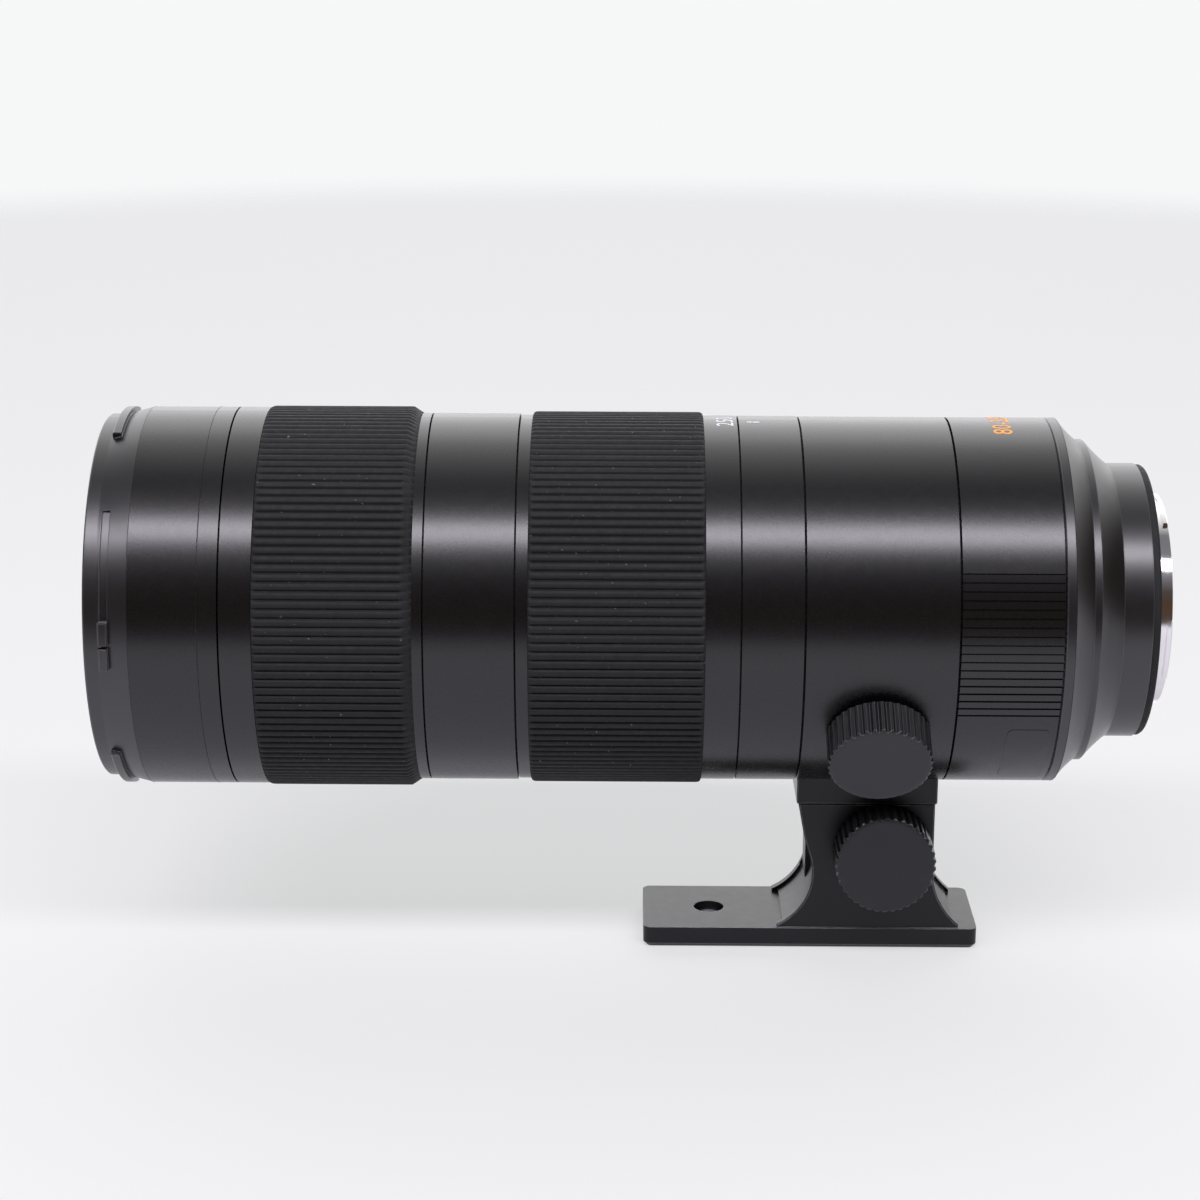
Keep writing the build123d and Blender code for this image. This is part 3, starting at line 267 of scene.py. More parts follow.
# A floor is a disc of rings that keeps its colour and fades out at its rim
def layFloor(spec):
    rings = np.linspace(0, spec["floorReach"], spec["floorRings"])
    turns = np.linspace(0, 2 * math.pi, spec["floorTurns"], endpoint=False)
    radius, turn = np.meshgrid(rings, turns, indexing="ij")
    grid = np.stack([
        radius * np.cos(turn) + spec["floorMiddle"][0],
        radius * np.sin(turn) + spec["floorMiddle"][1],
        np.full_like(radius, spec["floorDrop"] - spec["floorSink"]),
    ], -1)
    floor = surfacePiece("studioFloor", grid * mm, "floor", wrapCols=True, closed=False)
    stuff = bpy.data.materials.new("paleFloor")
    stuff.use_nodes = True
    tree = stuff.node_tree
    link = tree.links.new
    shader = tree.nodes["Principled BSDF"]
    shader.inputs["Base Color"].default_value = (*spec["floorTone"], 1)
    shader.inputs["Roughness"].default_value = spec["floorRough"]
    shader.inputs["Specular IOR Level"].default_value = spec["floorShine"]
    place = addNode(tree, "ShaderNodeTexCoord").outputs["Object"]

    # Colour of the glow: plain white for the camera; for reflections a tone by place across the floor, a
    # painted shadow of the lens under it and painted light further back
    parts = addNode(tree, "ShaderNodeSeparateXYZ")
    link(place, parts.inputs[0])
    nearest, farthest = spec["paintedReflectionTones"][0][0], spec["paintedReflectionTones"][-1][0]
    across = addRange(tree, (nearest * mm, farthest * mm))
    link(parts.outputs["Y"], across.inputs["Value"])
    paintedReflection = addNode(tree, "ShaderNodeValToRGB")
    setRamp(paintedReflection, [((at - nearest) / (farthest - nearest), colour) for at, colour in spec["paintedReflectionTones"]])
    link(across.outputs["Result"], paintedReflection.inputs[0])
    path = addNode(tree, "ShaderNodeLightPath")
    tone = mixColour(tree, path.outputs["Is Glossy Ray"], spec["farTone"], paintedReflection.outputs["Color"])
    glow = addNode(tree, "ShaderNodeEmission", Strength=1.0)
    link(tone, glow.inputs["Color"])

    # Share of the glow: none for rays that carry the floor's light onto the lens
    gloss = addNode(tree, "ShaderNodeMath", operation="MAXIMUM")
    link(path.outputs["Is Camera Ray"], gloss.inputs[0])
    link(path.outputs["Is Glossy Ray"], gloss.inputs[1])
    through = addNode(tree, "ShaderNodeMath", operation="MAXIMUM")
    link(gloss.outputs[0], through.inputs[0])
    link(path.outputs["Is Transmission Ray"], through.inputs[1])
    amount = addNode(tree, "ShaderNodeMath", operation="MULTIPLY")
    link(through.outputs[0], amount.inputs[0])
    amount.inputs[1].default_value = spec["floorGlow"]
    lit = addNode(tree, "ShaderNodeMixShader")
    link(amount.outputs[0], lit.inputs[0])
    link(shader.outputs[0], lit.inputs[1])
    link(glow.outputs[0], lit.inputs[2])

    # Rim: clear where the distance from the floor's middle passes its reach
    centred = addNode(tree, "ShaderNodeMapping")
    link(place, centred.inputs["Vector"])
    centred.inputs["Location"].default_value = (*(-value * mm for value in spec["floorMiddle"]), 0)
    flat = addNode(tree, "ShaderNodeVectorMath", operation="MULTIPLY")
    link(centred.outputs[0], flat.inputs[0])
    flat.inputs[1].default_value = (1, 1, 0)
    reach = addNode(tree, "ShaderNodeVectorMath", operation="LENGTH")
    link(flat.outputs[0], reach.inputs[0])
    fade = addNode(tree, "ShaderNodeMapRange", interpolation_type="SMOOTHSTEP",
                   From_Min=(spec["floorReach"] - spec["floorFade"]) * mm,
                   From_Max=spec["floorReach"] * mm * spec["floorFadeEnd"])
    link(reach.outputs["Value"], fade.inputs["Value"])
    clear = addNode(tree, "ShaderNodeBsdfTransparent")
    both = addNode(tree, "ShaderNodeMixShader")
    link(fade.outputs["Result"], both.inputs[0])
    link(lit.outputs[0], both.inputs[1])
    link(clear.outputs[0], both.inputs[2])
    link(both.outputs[0], tree.nodes["Material Output"].inputs["Surface"])
    floor.data.materials.append(stuff)


layFloor(studio)
print("stage: camera, lamps and floor")

# Finishes. "tone" and "light" are the colours that the patches run between, and sizes are in mm
finishes = {
    "blackAnodised": {
        "tone": (0.0026, 0.0025, 0.0028), "light": (0.0034, 0.0033, 0.0036), "rough": (0.265, 0.280),
        "grain": 0.16, "grainDepth": 0.0001, "patch": 5.0, "lathe": 0.00003, "index": 1.6,
    },
    # The black anodising again, lighter and glossier, for the hood ring and the mount: its lighter tone is
    # painted light for the brighter ends of the lens
    "litEndAnodised": {
        "tone": (0.0040, 0.0038, 0.0046), "light": (0.0052, 0.0050, 0.0060), "rough": (0.32, 0.34),
        "grain": 0.16, "grainDepth": 0.0002, "patch": 5.0, "edgeWearAndHighlight": 0.10, "lathe": 0.0001, "index": 1.76,
    },
    "footAnodised": {
        "tone": (0.0034, 0.0033, 0.0044), "light": (0.0046, 0.0044, 0.0058), "rough": (0.32, 0.36),
        "grain": 0.18, "grainDepth": 0.0008, "patch": 5.0, "edgeWearAndHighlight": 0.34, "index": 1.43,
    },
    "knobAnodised": {
        "tone": (0.0046, 0.0044, 0.0062), "light": (0.0060, 0.0058, 0.0078), "rough": (0.32, 0.37),
        "grain": 0.18, "grainDepth": 0.0012, "patch": 4.0, "edgeWearAndHighlight": 0.10, "index": 1.52,
    },
    "gripRubber": {
        "tone": (0.0112, 0.0116, 0.0128), "light": (0.0148, 0.0152, 0.0166), "rough": (0.62, 0.74),
        "grain": 0.24, "grainDepth": 0.006, "patch": 3.0, "dust": 0.16, "shine": 0.30,
    },
    "innerMatt": {
        "tone": (0.010, 0.010, 0.010), "light": (0.018, 0.018, 0.018), "rough": (0.55, 0.70),
        "grain": 0.25, "grainDepth": 0.004, "patch": 9.0,
    },
    "groundSteel": {
        "tone": (0.52, 0.52, 0.53), "light": (0.64, 0.63, 0.62), "rough": (0.22, 0.34), "metal": 1.0,
        "grain": 0.10, "grainDepth": 0.0015, "patch": 3.0,
    },
    "blackSteel": {
        "tone": (0.040, 0.040, 0.042), "light": (0.065, 0.064, 0.064), "rough": (0.36, 0.46), "metal": 0.6,
        "grain": 0.12, "grainDepth": 0.001, "patch": 4.0,
    },
    "brightChrome": {
        "tone": (0.80, 0.785, 0.77), "light": (0.88, 0.87, 0.86), "rough": (0.08, 0.12), "metal": 1.0,
        "grain": 0.14, "grainDepth": 0.0005, "patch": 8.0, "lathe": 0.0006,
    },
    "platedGold": {
        "tone": (0.80, 0.56, 0.24), "light": (0.90, 0.66, 0.32), "rough": (0.18, 0.28), "metal": 1.0,
        "grain": 0.10, "grainDepth": 0.0006, "patch": 1.5,
    },
    "blackPlastic": {
        "tone": (0.014, 0.014, 0.015), "light": (0.022, 0.022, 0.022), "rough": (0.42, 0.52),
        "grain": 0.20, "grainDepth": 0.004, "patch": 5.0,
    },
    "greenBoard": {
        "tone": (0.010, 0.050, 0.022), "light": (0.016, 0.072, 0.032), "rough": (0.30, 0.42),
        "grain": 0.35, "grainDepth": 0.003, "patch": 2.5,
    },
    "whitePaint": {
        "tone": (0.62, 0.63, 0.64), "light": (0.74, 0.75, 0.75), "rough": (0.45, 0.55),
        "grain": 0.12, "grainDepth": 0.002, "patch": 0.8,
    },
    "orangePaint": {
        "tone": (0.78, 0.31, 0.020), "light": (0.88, 0.38, 0.035), "rough": (0.45, 0.55),
        "grain": 0.12, "grainDepth": 0.002, "patch": 0.8,
    },
    "cutEdge": {
        "tone": (0.050, 0.050, 0.053), "light": (0.066, 0.065, 0.068), "rough": (0.34, 0.40), "metal": 1.0,
        "grain": 0.12, "grainDepth": 0.0005, "patch": 3.0,
    },
    "labelFilm": {
        "tone": (0.0050, 0.0049, 0.0054), "light": (0.0062, 0.0061, 0.0067), "rough": (0.29, 0.31),
        "grain": 0.18, "grainDepth": 0.001, "patch": 5.0, "index": 1.6,
    },
}

# What all finishes share. A noise runs from 0 to 1, and a range says where it begins and ends to count
marking = {
    "toneRange": (0.30, 0.70), "toneDetail": 4.0, "toneRoughness": 0.6,
    "roughRange": (0.3, 0.7), "roughDetail": 3.0,
    "roughFiner": 2.3,           # how much finer the patches of roughness are than those of colour
    "grainDetail": 2.0,
    "latheScale": (4200.0, 8.0, 8.0), "latheDetail": 1.0,
    "edgeRadius": 0.3, "edgeSamples": 4,
    "edgeRange": (0.995, 0.86),  # cosine between the rounded and the plain normal
    "dustScale": 1400.0, "dustDetail": 1.0, "dustRange": (0.76, 0.80),
}


# Colour runs between two tones by a slow noise, roughness follows a second one, and a fine noise lifts the
# surface as grain. Lathe marks are a noise stretched round the X axis. Edges that a rounded normal leaves
# are lightened in colour, partly as wear and partly as a painted highlight. Dust is the top of a third
# noise.
def makeFinish(name, look):
    stuff = bpy.data.materials.new(name)
    stuff.use_nodes = True
    tree = stuff.node_tree
    link = tree.links.new
    shader = tree.nodes["Principled BSDF"]
    shader.inputs["Metallic"].default_value = look.get("metal", 0.0)
    shader.inputs["IOR"].default_value = look.get("index", 1.5)
    shader.inputs["Specular IOR Level"].default_value = look.get("shine", 0.5)
    place = addNode(tree, "ShaderNodeTexCoord").outputs["Object"]

    slow = addNode(tree, "ShaderNodeTexNoise", Scale=1 / (look["patch"] * mm),
                   Detail=marking["toneDetail"], Roughness=marking["toneRoughness"])
    link(place, slow.inputs["Vector"])
    tones = addNode(tree, "ShaderNodeValToRGB")
    setRamp(tones, list(zip(marking["toneRange"], (look["tone"], look["light"]))))
    link(slow.outputs["Fac"], tones.inputs[0])
    colour = tones.outputs["Color"]

    second = addNode(tree, "ShaderNodeTexNoise", Scale=marking["roughFiner"] / (look["patch"] * mm),
                     Detail=marking["roughDetail"])
    link(place, second.inputs["Vector"])
    rough = addRange(tree, marking["roughRange"], look["rough"])
    link(second.outputs["Fac"], rough.inputs["Value"])
    link(rough.outputs["Result"], shader.inputs["Roughness"])

    grain = addNode(tree, "ShaderNodeTexNoise", Scale=1 / (look["grain"] * mm),
                    Detail=marking["grainDetail"])
    link(place, grain.inputs["Vector"])
    lift = addNode(tree, "ShaderNodeBump", Strength=1.0, Distance=look["grainDepth"] * mm)
    link(grain.outputs["Fac"], lift.inputs["Height"])
    if "edgeWearAndHighlight" in look:
        rounded = addNode(tree, "ShaderNodeBevel", samples=marking["edgeSamples"])
        rounded.inputs["Radius"].default_value = marking["edgeRadius"] * mm
        link(rounded.outputs[0], lift.inputs["Normal"])
    normal = lift.outputs["Normal"]

    if "lathe" in look:
        squeeze = addNode(tree, "ShaderNodeMapping")
        squeeze.inputs["Scale"].default_value = marking["latheScale"]
        link(place, squeeze.inputs["Vector"])
        marks = addNode(tree, "ShaderNodeTexNoise", Scale=1.0, Detail=marking["latheDetail"])
        link(squeeze.outputs[0], marks.inputs["Vector"])
        cut = addNode(tree, "ShaderNodeBump", Strength=1.0, Distance=look["lathe"] * mm)
        link(marks.outputs["Fac"], cut.inputs["Height"])
        link(normal, cut.inputs["Normal"])
        normal = cut.outputs["Normal"]

    # Edges turn to a light colour: partly wear, partly a painted highlight where edges catch the light
    if "edgeWearAndHighlight" in look:
        plain = addNode(tree, "ShaderNodeNewGeometry")
        same = addNode(tree, "ShaderNodeVectorMath", operation="DOT_PRODUCT")
        link(rounded.outputs[0], same.inputs[0])
        link(plain.outputs["Normal"], same.inputs[1])
        edge = addRange(tree, marking["edgeRange"])
        link(same.outputs["Value"], edge.inputs["Value"])
        colour = mixColour(tree, edge.outputs["Result"], colour, (look["edgeWearAndHighlight"],) * 3)

    if "dust" in look:
        specks = addNode(tree, "ShaderNodeTexNoise", Scale=marking["dustScale"],
                         Detail=marking["dustDetail"])
        link(place, specks.inputs["Vector"])
        top = addRange(tree, marking["dustRange"])
        link(specks.outputs["Fac"], top.inputs["Value"])
        colour = mixColour(tree, top.outputs["Result"], colour, (look["dust"],) * 3)

    link(colour, shader.inputs["Base Color"])
    link(normal, shader.inputs["Normal"])
    return stuff


stuffs = {name: makeFinish(name, look) for name, look in finishes.items()}

coating = {
    "tint": (0.90, 0.97, 0.93), "index": 1.52,
    "film": 105.0,               # thickness of the coating in nm
    "filmIndex": 1.38,
    "wipeScale": 90.0, "wipeDetail": 3.0, "wipeRange": (0.35, 0.75), "wipeRough": (0.0, 0.03),
}


# Coated glass passes light and keeps a tint; a slow noise moves its roughness a little, as wiping marks do
def makeGlass(name, look):
    stuff = bpy.data.materials.new(name)
    stuff.use_nodes = True
    tree = stuff.node_tree
    shader = tree.nodes["Principled BSDF"]
    shader.inputs["Base Color"].default_value = (*look["tint"], 1)
    shader.inputs["Transmission Weight"].default_value = 1.0
    shader.inputs["IOR"].default_value = look["index"]
    shader.inputs["Thin Film Thickness"].default_value = look["film"]
    shader.inputs["Thin Film IOR"].default_value = look["filmIndex"]
    place = addNode(tree, "ShaderNodeTexCoord").outputs["Object"]
    wiped = addNode(tree, "ShaderNodeTexNoise", Scale=look["wipeScale"], Detail=look["wipeDetail"])
    tree.links.new(place, wiped.inputs["Vector"])
    rough = addRange(tree, look["wipeRange"], look["wipeRough"])
    tree.links.new(wiped.outputs["Fac"], rough.inputs["Value"])
    tree.links.new(rough.outputs["Result"], shader.inputs["Roughness"])
    return stuff


stuffs["coatedGlass"] = makeGlass("coatedGlass", coating)

# Which solid of the frame gets which finish
dressing = {
    "blackAnodised": [
        "front_barrel", "focus_ring", "mid_barrel", "zoom_ring", "index_ring", "rear_barrel",
        "tripod_collar",
    ],
    "litEndAnodised": ["hood_bayonet_ring", "mount_cone"],
    "footAnodised": ["tripod_foot", "clamp_jaw"],
    "knobAnodised": ["collar_knob", "foot_knob"],
    "gripRubber": ["focus_grip", "zoom_grip", "mount_gasket"],
    "brightChrome": ["bayonet_mount"],
    "platedGold": ["contact_pins"],
    "groundSteel": ["mount_screws", "guide_rods", "focus_rods", "focus_screw", "small_socket",
                    "variator_followers", "compensator_followers"],
    "greenBoard": ["circuit_board"],
    "blackPlastic": ["contact_block", "rear_baffle", "focus_carriage", "collar_pad", "iris_drive_ring",
                     "iris_cover", "iris_housing", "focus_motor"],
    "coatedGlass": ["front_element", "second_element", "variator_glass", "compensator_glass",
                    "focus_element", "relay_element", "rear_element"],
    "blackSteel": ["iris_blade_%d" % number for number in range(1, 10)],
}
chosen = {node: name for name, nodes in dressing.items() for node in nodes}
for nodeName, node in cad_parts.items():
    finishName = chosen.get(nodeName, "innerMatt")
    node.data.materials.clear()
    node.data.materials.append(stuffs[finishName])
print("stage: finishes on", len(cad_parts), "solids")


# A piece takes its finish and body in one go
def dress(piece, finish, body):
    piece.data.materials.clear()
    piece.data.materials.append(stuffs[finish])
    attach(piece, body)
    return piece


# Ribbed rubber sleeves, in mm. Each profile point is place along the axis, radius, and share of the groove
# depth. "grooveShare" is a groove's half width as a share of the pitch
ribPlaces = [0.0, 0.055, 0.11, 0.17, 0.26, 0.5, 0.74, 0.83, 0.89, 0.945]      # share of the pitch
focusGrip = {
    "ribs": 137, "depth": 0.46, "grooveShare": 0.15, "crown": 0.15,
    "profile": [
        (-200.9, 42.2, 0.0), (-200.9, 43.45, 0.0), (-200.72, 43.80, 0.25), (-200.3, 43.97, 0.8),
        (-199.7, 44.0, 1.0), (-168.6, 44.0, 1.0), (-168.1, 43.98, 0.8), (-167.4, 43.55, 0.45),
        (-166.7, 43.05, 0.15), (-165.8, 42.5, 0.0), (-165.8, 42.2, 0.0),
    ],
}
zoomGrip = {
    "ribs": 134, "depth": 0.46, "grooveShare": 0.15, "crown": 0.15,
    "profile": [
        (-140.4, 41.2, 0.0), (-140.4, 42.35, 0.0), (-140.2, 42.76, 0.25), (-139.75, 42.97, 0.8),
        (-139.2, 43.0, 1.0), (-102.5, 43.0, 1.0), (-101.95, 42.97, 0.8), (-101.5, 42.76, 0.25),
        (-101.3, 42.35, 0.0), (-101.3, 41.2, 0.0),
    ],
}


# Radius = profile radius less a bell-shaped groove at each rib's edge and a shallow crown between grooves
def ribbedSleeve(name, spec):
    within = np.array(ribPlaces)
    turn = ((np.arange(spec["ribs"])[:, None] + within) * 2 * math.pi / spec["ribs"]).ravel()
    toGroove = np.tile(np.minimum(within, 1 - within), spec["ribs"])
    cut = spec["depth"] * np.exp(-((toGroove / spec["grooveShare"]) ** 2)) + spec["crown"] * (
        1 - 2 * toGroove) ** 2
    along, radius, share = (np.array(column)[:, None] for column in zip(*spec["profile"]))
    out = radius - share * cut
    grid = np.stack([
        np.broadcast_to(along, out.shape), -out * np.sin(turn), out * np.cos(turn)
    ], -1)
    return surfacePiece(name, grid * mm, "sleeve", wrapRows=True, wrapCols=True)


focusSleeve = dress(ribbedSleeve("focusGripRibs", focusGrip), "gripRubber", "focus_ring")
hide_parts("focus_grip")
zoomSleeve = dress(ribbedSleeve("zoomGripRibs", zoomGrip), "gripRubber", "zoom_ring")
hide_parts("zoom_grip")
print("stage: ribbed grips")

# The collar band, its block and the rail under it, as prisms and a turned band in mm
collarBand = {
    "front": -79.3, "rear": -45.6, "radius": 42.1, "bore": 41.6, "edge": 0.12, "around": 256,
}
collarBlock = {
    "front": -78.8, "rear": -46.1, "edge": 0.25,
    "outline": [
        (-13.3, -39.6), (-13.3, -45.9), (-13.05, -46.14),
        (13.05, -46.14), (13.3, -45.9), (13.3, -39.6),
    ],
}
collarRail = {
    "front": -77.0, "rear": -47.1, "edge": 0.25,
    "outline": [(-5.0, -46.0), (-8.0, -51.9), (8.0, -51.9), (5.0, -46.0)],
}


# Band: a closed profile of place and radius, swept once round the axis
def turnedBand(name, profile, around):
    turn = np.linspace(0, 2 * math.pi, around, endpoint=False)
    along, radius = (np.array(column)[:, None] for column in zip(*profile))
    grid = np.stack([
        np.broadcast_to(along, (len(profile), around)), -radius * np.sin(turn), radius * np.cos(turn)
    ], -1)
    return surfacePiece(name, grid * mm, "band", wrapRows=True, wrapCols=True)


# Prism: the outline is carried along the axis, drawn in by the edge at both ends, and closed in its middle
def prism(name, spec):
    outline = np.array(spec["outline"])
    middle = (outline.min(0) + outline.max(0)) / 2
    half = (outline.max(0) - outline.min(0)) / 2
    inner = middle + (outline - middle) * (half - spec["edge"]) / half
    centre = np.broadcast_to(middle, outline.shape)
    sections = [centre, inner, outline, outline, inner, centre]
    places = [spec["front"], spec["front"], spec["front"] + spec["edge"],
              spec["rear"] - spec["edge"], spec["rear"], spec["rear"]]
    grid = np.stack([
        np.concatenate([np.full((len(outline), 1), place), section], 1)
        for place, section in zip(places, sections)
    ])
    return surfacePiece(name, grid * mm, "prism", wrapCols=True)


bandEdge = collarBand["edge"]
collarPiece = dress(turnedBand("collarBand", [
    (collarBand["front"], collarBand["bore"]),
    (collarBand["front"], collarBand["radius"] - bandEdge),
    (collarBand["front"] + bandEdge, collarBand["radius"]),
    (collarBand["rear"] - bandEdge, collarBand["radius"]),
    (collarBand["rear"], collarBand["radius"] - bandEdge),
    (collarBand["rear"], collarBand["bore"]),
], collarBand["around"]), "blackAnodised", "tripod_collar")
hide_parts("tripod_collar")
dress(prism("collarBlock", collarBlock), "footAnodised", "tripod_collar")
dress(prism("collarRail", collarRail), "footAnodised", "tripod_collar")

# Turned edges that catch the light: place, radius, and half width of the ridge, in mm
cutEdges = {
    "hoodEdge": (-228.0, 43.7, 0.10),
    "frontLineEdge": (-212.75, 43.7, 0.09),
    "coneEdge": (-20.3, 42.1, 0.10),
}
for edgeName, (place, radius, half) in cutEdges.items():
    dress(turnedBand(edgeName, [
        (place - half, radius - half), (place - half, radius), (place, radius + half / 2),
        (place + half, radius), (place + half, radius - half),
    ], collarBand["around"]), "cutEdge", "barrel")
print("stage: collar and cut edges")

# Knurled knobs, in mm. The collar's stands on the drum at a turn from the top, the foot's on a point
collarKnob = {"base": 42.5, "angle": 120.4, "along": -62.45, "length": 9.2}
footKnob = {"point": (-58.55, -13.2, -57.5), "length": 10.2}
knurl = {
    "radius": 11.6, "flutes": 38, "depth": 0.62,
    "halfGroove": 0.36,          # share of the pitch
    "places": [0.0, 0.18, 0.36, 0.5, 0.64, 0.82],
    "stud": 2.5, "studEdge": 0.3,
    # height from the knob's near end, and how far inside its radius
    "nearRim": [(0.0, 0.75), (0.06, 0.45), (0.42, 0.0)],
    # drop from its far end, and how far inside its radius
    "farRim": [(0.50, 0.0), (0.16, 0.30), (0.05, 0.46), (0.0, 0.70), (0.0, 1.6), (0.03, 4.0)],
    "dish": 0.05,
}


# Lowest place of a solid along a direction, in mm from the base point
def reachAlong(node, base, out):
    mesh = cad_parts[node].data
    points = np.empty(len(mesh.vertices) * 3)
    mesh.vertices.foreach_get("co", points)
    return float(((points.reshape(-1, 3) / mm - np.array(base)) @ out).min())


# Radius = the smaller of the turned profile and the rim less a V-shaped flute, swept once round the axis
def flutedKnob(name, node, base, out, length, spec):
    out = np.array(out) / np.linalg.norm(out)
    lowest = reachAlong(node, base, out)
    rim, stud, edge = spec["radius"], spec["stud"], spec["studEdge"]
    profile = [
        (lowest, 0.0), (lowest, stud - edge), (lowest + edge, stud), (0.0, stud),
        *((rise, rim - inset) for rise, inset in spec["nearRim"]),
        *((length - drop, rim - inset) for drop, inset in spec["farRim"]),
        (length - spec["dish"], 0.0),
    ]
    within = np.array(spec["places"])
    turn = ((np.arange(spec["flutes"])[:, None] + within) * 2 * math.pi / spec["flutes"]).ravel()
    toGroove = np.tile(np.minimum(within, 1 - within), spec["flutes"])
    cut = spec["depth"] * np.maximum(0, 1 - toGroove / spec["halfGroove"])
    height, radius = (np.array(column)[:, None] for column in zip(*profile))
    around = np.minimum(radius, rim - cut)
    first = np.array([1.0, 0.0, 0.0])
    second = np.cross(out, first)
    grid = (
        np.array(base)
        + height[..., None] * out
        + (around * np.cos(turn))[..., None] * first
        + (around * np.sin(turn))[..., None] * second
    )
    return surfacePiece(name, grid * mm, "knob", wrapCols=True)


knobTurn = math.radians(collarKnob["angle"])
knobOut = (0.0, -math.sin(knobTurn), math.cos(knobTurn))
knobBase = (collarKnob["along"], knobOut[1] * collarKnob["base"], knobOut[2] * collarKnob["base"])
for pieceName, node, base, out, length in (
    ("collarKnobKnurled", "collar_knob", knobBase, knobOut, collarKnob["length"]),
    ("footKnobKnurled", "foot_knob", footKnob["point"], (0.0, -1.0, 0.0), footKnob["length"]),
):
    knobPiece = flutedKnob(pieceName, node, base, out, length, knurl)
    dress(knobPiece, "knobAnodised", node)
    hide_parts(node)
print("stage: knobs")

# Numbers and marks, printed a few hundredths thick. Angles are turned about the lens axis from the top
dial = {
    "radius": 42.2, "baseline": -94.6, "height": 3.9,
    "numbers": {"250": 2.0, "200": -16.0, "150": -37.0, "120": -54.0, "80": -78.0},
}
rangeMark = {
    "radius": 42.1, "baseline": -31.6, "height": 4.3, "text": "80-250", "angle": 1.0,
    "bold": 0.004,               # share of the font's size by which the strokes grow
}
printed = {
    "thick": 0.03,
    "step": 0.6,                 # the text is cut this fine, so that it bends
    "digitShare": 0.70,          # a digit's height as a share of the font's size
    "curveSteps": 4,
    "weld": 1e-4, "cutWeld": 1e-5,       # points nearer than this are one, in mm
}


# Flat text lies on the drum: its width becomes an angle, its height goes forwards, its depth is the radius
def wrapText(name, text, radius, baseline, height, angle, bold=0.0):
    curve = bpy.data.curves.new(name, "FONT")
    curve.body = text
    curve.align_x = "CENTER"
    curve.size = height / printed["digitShare"]
    curve.extrude = printed["thick"]
    curve.offset = bold * curve.size
    curve.resolution_u = printed["curveSteps"]
    flat = bpy.data.objects.new(name + "Flat", curve)
    bpy.context.scene.collection.objects.link(flat)
    bpy.context.view_layer.update()
    mesh = bpy.data.meshes.new_from_object(flat.evaluated_get(bpy.context.evaluated_depsgraph_get()))
    mesh.name = name
    bpy.data.objects.remove(flat)
    shape = bmesh.new()
    shape.from_mesh(mesh)
    bmesh.ops.remove_doubles(shape, verts=shape.verts, dist=printed["weld"])
    reach = max(abs(corner.co.x) for corner in shape.verts)
    for cut in np.arange(-reach, reach, printed["step"]):
        bmesh.ops.bisect_plane(shape, geom=shape.verts[:] + shape.edges[:] + shape.faces[:],
                               plane_co=(cut, 0, 0), plane_no=(1, 0, 0), dist=printed["cutWeld"])
    shape.to_mesh(mesh)
    shape.free()
    points = np.empty(len(mesh.vertices) * 3)
    mesh.vertices.foreach_get("co", points)
    across, up, depth = points.reshape(-1, 3).T
    turn = math.radians(angle) - across / radius
    placed = np.stack([
        baseline - up, -(radius + depth) * np.sin(turn), (radius + depth) * np.cos(turn)
    ], -1) * mm
    mesh.vertices.foreach_set("co", placed.ravel())
    mesh.update()
    piece = bpy.data.objects.new(name, mesh)
    bpy.context.scene.collection.objects.link(piece)
    return piece


for number, angle in dial["numbers"].items():
    dress(wrapText("dialNumber" + number, number, dial["radius"], dial["baseline"], dial["height"], angle),
          "whitePaint", "zoom_ring")

dress(wrapText("zoomRangeMark", rangeMark["text"], rangeMark["radius"], rangeMark["baseline"],
               rangeMark["height"], rangeMark["angle"], rangeMark["bold"]),
      "orangePaint", "barrel")

# Thin patches on the drum. "middle" and "half" are a length along the axis in mm and a turn in degrees,
# and "lift" is how far they stand out and reach in
indexLine = {
    "radius": 42.2, "middle": (-90.05, 3.4), "half": (1.45, 0.52), "corner": 12.0, "lift": 0.04,
    "rings": 5, "around": 48,
}
labelPatch = {
    "radius": 42.1, "middle": (-29.0, 134.2), "half": (4.95, 15.8), "corner": 9.0, "lift": 0.09,
    "rings": 34, "around": 160,
}


# A superellipse disc: rings grow from the middle to the rim on the top, and shrink again underneath
def wrappedPatch(name, spec):
    share = np.concatenate([np.linspace(0, 1, spec["rings"]), np.linspace(1, 0, spec["rings"])])
    lift = np.repeat([spec["lift"], -spec["lift"]], spec["rings"])
    turn = np.linspace(0, 2 * math.pi, spec["around"], endpoint=False)
    power = 2 / spec["corner"]
    alongRim = np.sign(np.cos(turn)) * np.abs(np.cos(turn)) ** power * spec["half"][0]
    turnRim = np.sign(np.sin(turn)) * np.abs(np.sin(turn)) ** power * spec["half"][1]
    along = spec["middle"][0] + share[:, None] * alongRim
    angle = np.radians(spec["middle"][1] + share[:, None] * turnRim)
    radius = spec["radius"] + lift[:, None]
    grid = np.stack([along, -radius * np.sin(angle), radius * np.cos(angle)], -1)
    return surfacePiece(name, grid * mm, "patch", wrapCols=True)


dress(wrappedPatch("zoomIndexLine", indexLine), "whitePaint", "barrel")
dress(wrappedPatch("blankLabel", labelPatch), "labelFilm", "barrel")
print("stage: numbers, index line and label")

# Filter thread inside the front ring, in mm
filterThread = {
    "front": -237.7, "rear": -232.9, "outer": 40.7, "major": 40.56, "minor": 40.14, "pitch": 0.75,
    "perPitch": 6, "around": 160,
}


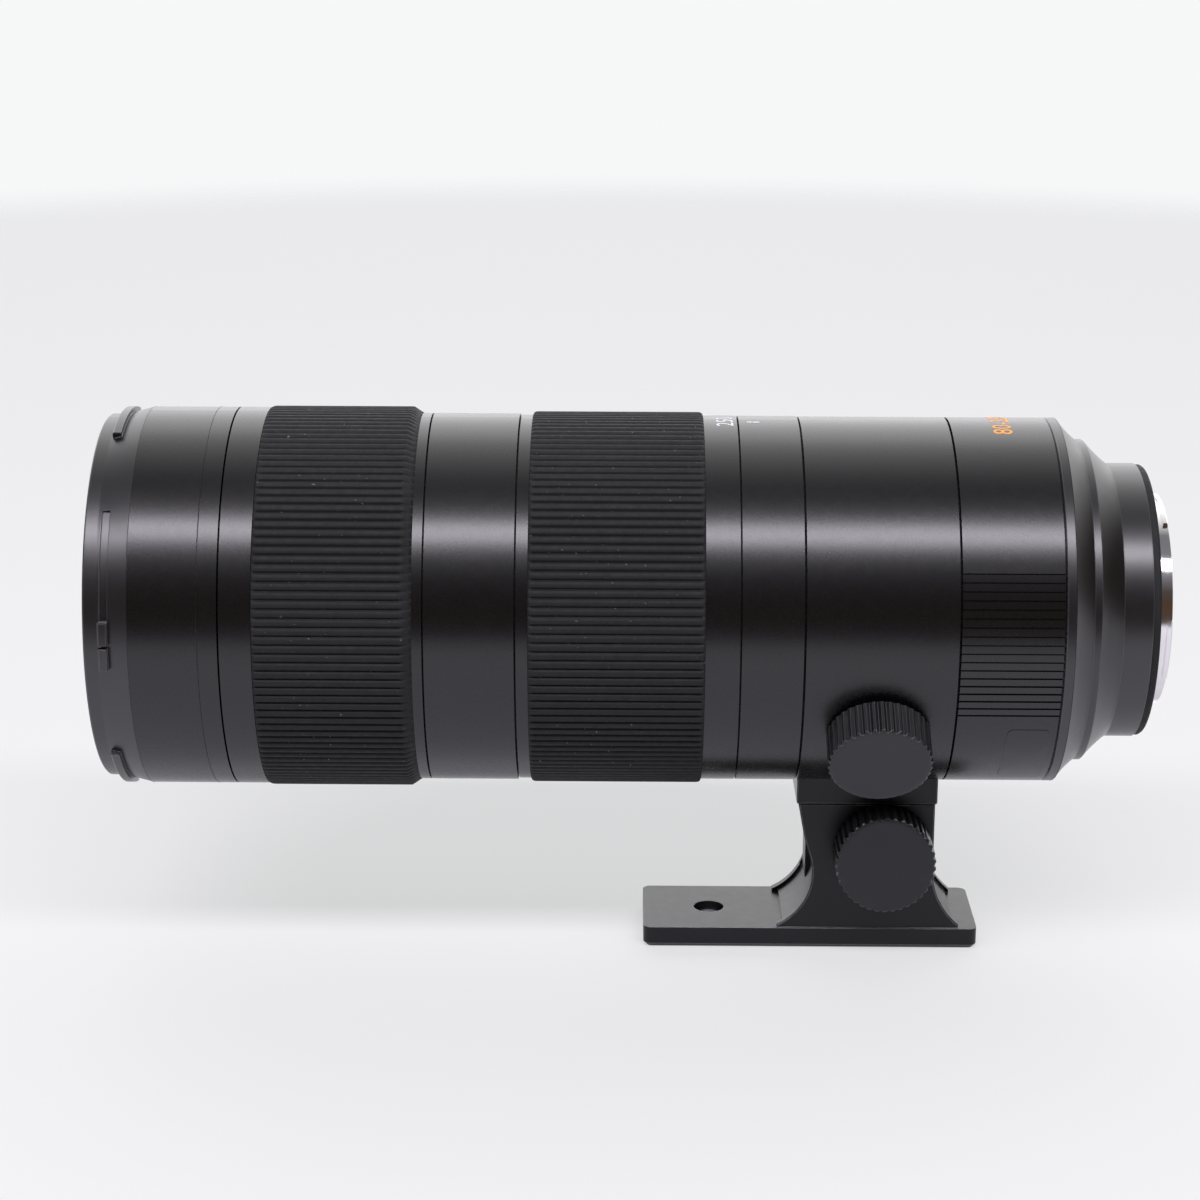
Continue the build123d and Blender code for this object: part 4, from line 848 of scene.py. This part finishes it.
# Thread: radius runs as a triangle wave of the place along the axis less the lead of the turn
def threadedBore(name, spec):
    count = int(round((spec["rear"] - spec["front"]) / spec["pitch"] * spec["perPitch"]))
    along = np.linspace(spec["front"], spec["rear"], count + 1)
    turn = np.linspace(0, 2 * math.pi, spec["around"], endpoint=False)
    phase = (along[:, None] - spec["front"]) / spec["pitch"] - turn / (2 * math.pi)
    wave = 2 * np.abs(phase - np.floor(phase + 0.5))
    fade = np.clip(np.minimum(along - spec["front"], spec["rear"] - along) / spec["pitch"], 0, 1)[:, None]
    inner = spec["major"] - (spec["major"] - spec["minor"]) * wave * fade
    outer = np.full((1, spec["around"]), spec["outer"])
    radius = np.concatenate([outer, inner, outer])
    place = np.concatenate([[spec["front"]], along, [spec["rear"]]])[:, None]
    grid = np.stack([
        np.broadcast_to(place, radius.shape), -radius * np.sin(turn), radius * np.cos(turn)
    ], -1)
    return surfacePiece(name, grid * mm, "thread", wrapRows=True, wrapCols=True)


dress(threadedBore("filterThread", filterThread), "blackAnodised", "barrel")
print("stage: filter thread")

# Front glass with smooth faces. Its bulge and hollow are the solid's, in mm
frontGlass = {"bulge": 4.0, "hollow": 2.0, "rings": 36, "around": 144}


# Turned lens: a face is a ball's sag over the rim, the ball's radius being rim squared plus bulge squared,
# over twice the bulge
def turnedGlass(name, node, spec):
    low, high = (np.array(corner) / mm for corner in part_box(node))
    radius = np.linspace(0, (high[1] - low[1]) / 2, spec["rings"])
    ball = {side: (radius[-1] ** 2 + spec[side] ** 2) / (2 * spec[side]) for side in ("bulge", "hollow")}
    sag = {side: ball[side] - np.sqrt(ball[side] ** 2 - radius ** 2) for side in ball}
    front = low[0] + sag["bulge"]
    back = high[0] - spec["hollow"] + sag["hollow"]
    along = np.concatenate([front, back[::-1]])[:, None]
    reach = np.concatenate([radius, radius[::-1]])[:, None]
    turn = np.linspace(0, 2 * math.pi, spec["around"], endpoint=False)
    grid = np.stack([
        np.broadcast_to(along, (len(along), len(turn))), -reach * np.sin(turn), reach * np.cos(turn)
    ], -1)
    return surfacePiece(name, grid * mm, "glass", wrapCols=True)


lens = turnedGlass("frontGlass", "front_element", frontGlass)
dress(lens, "coatedGlass", "barrel")
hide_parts("front_element")
print("stage: front glass")
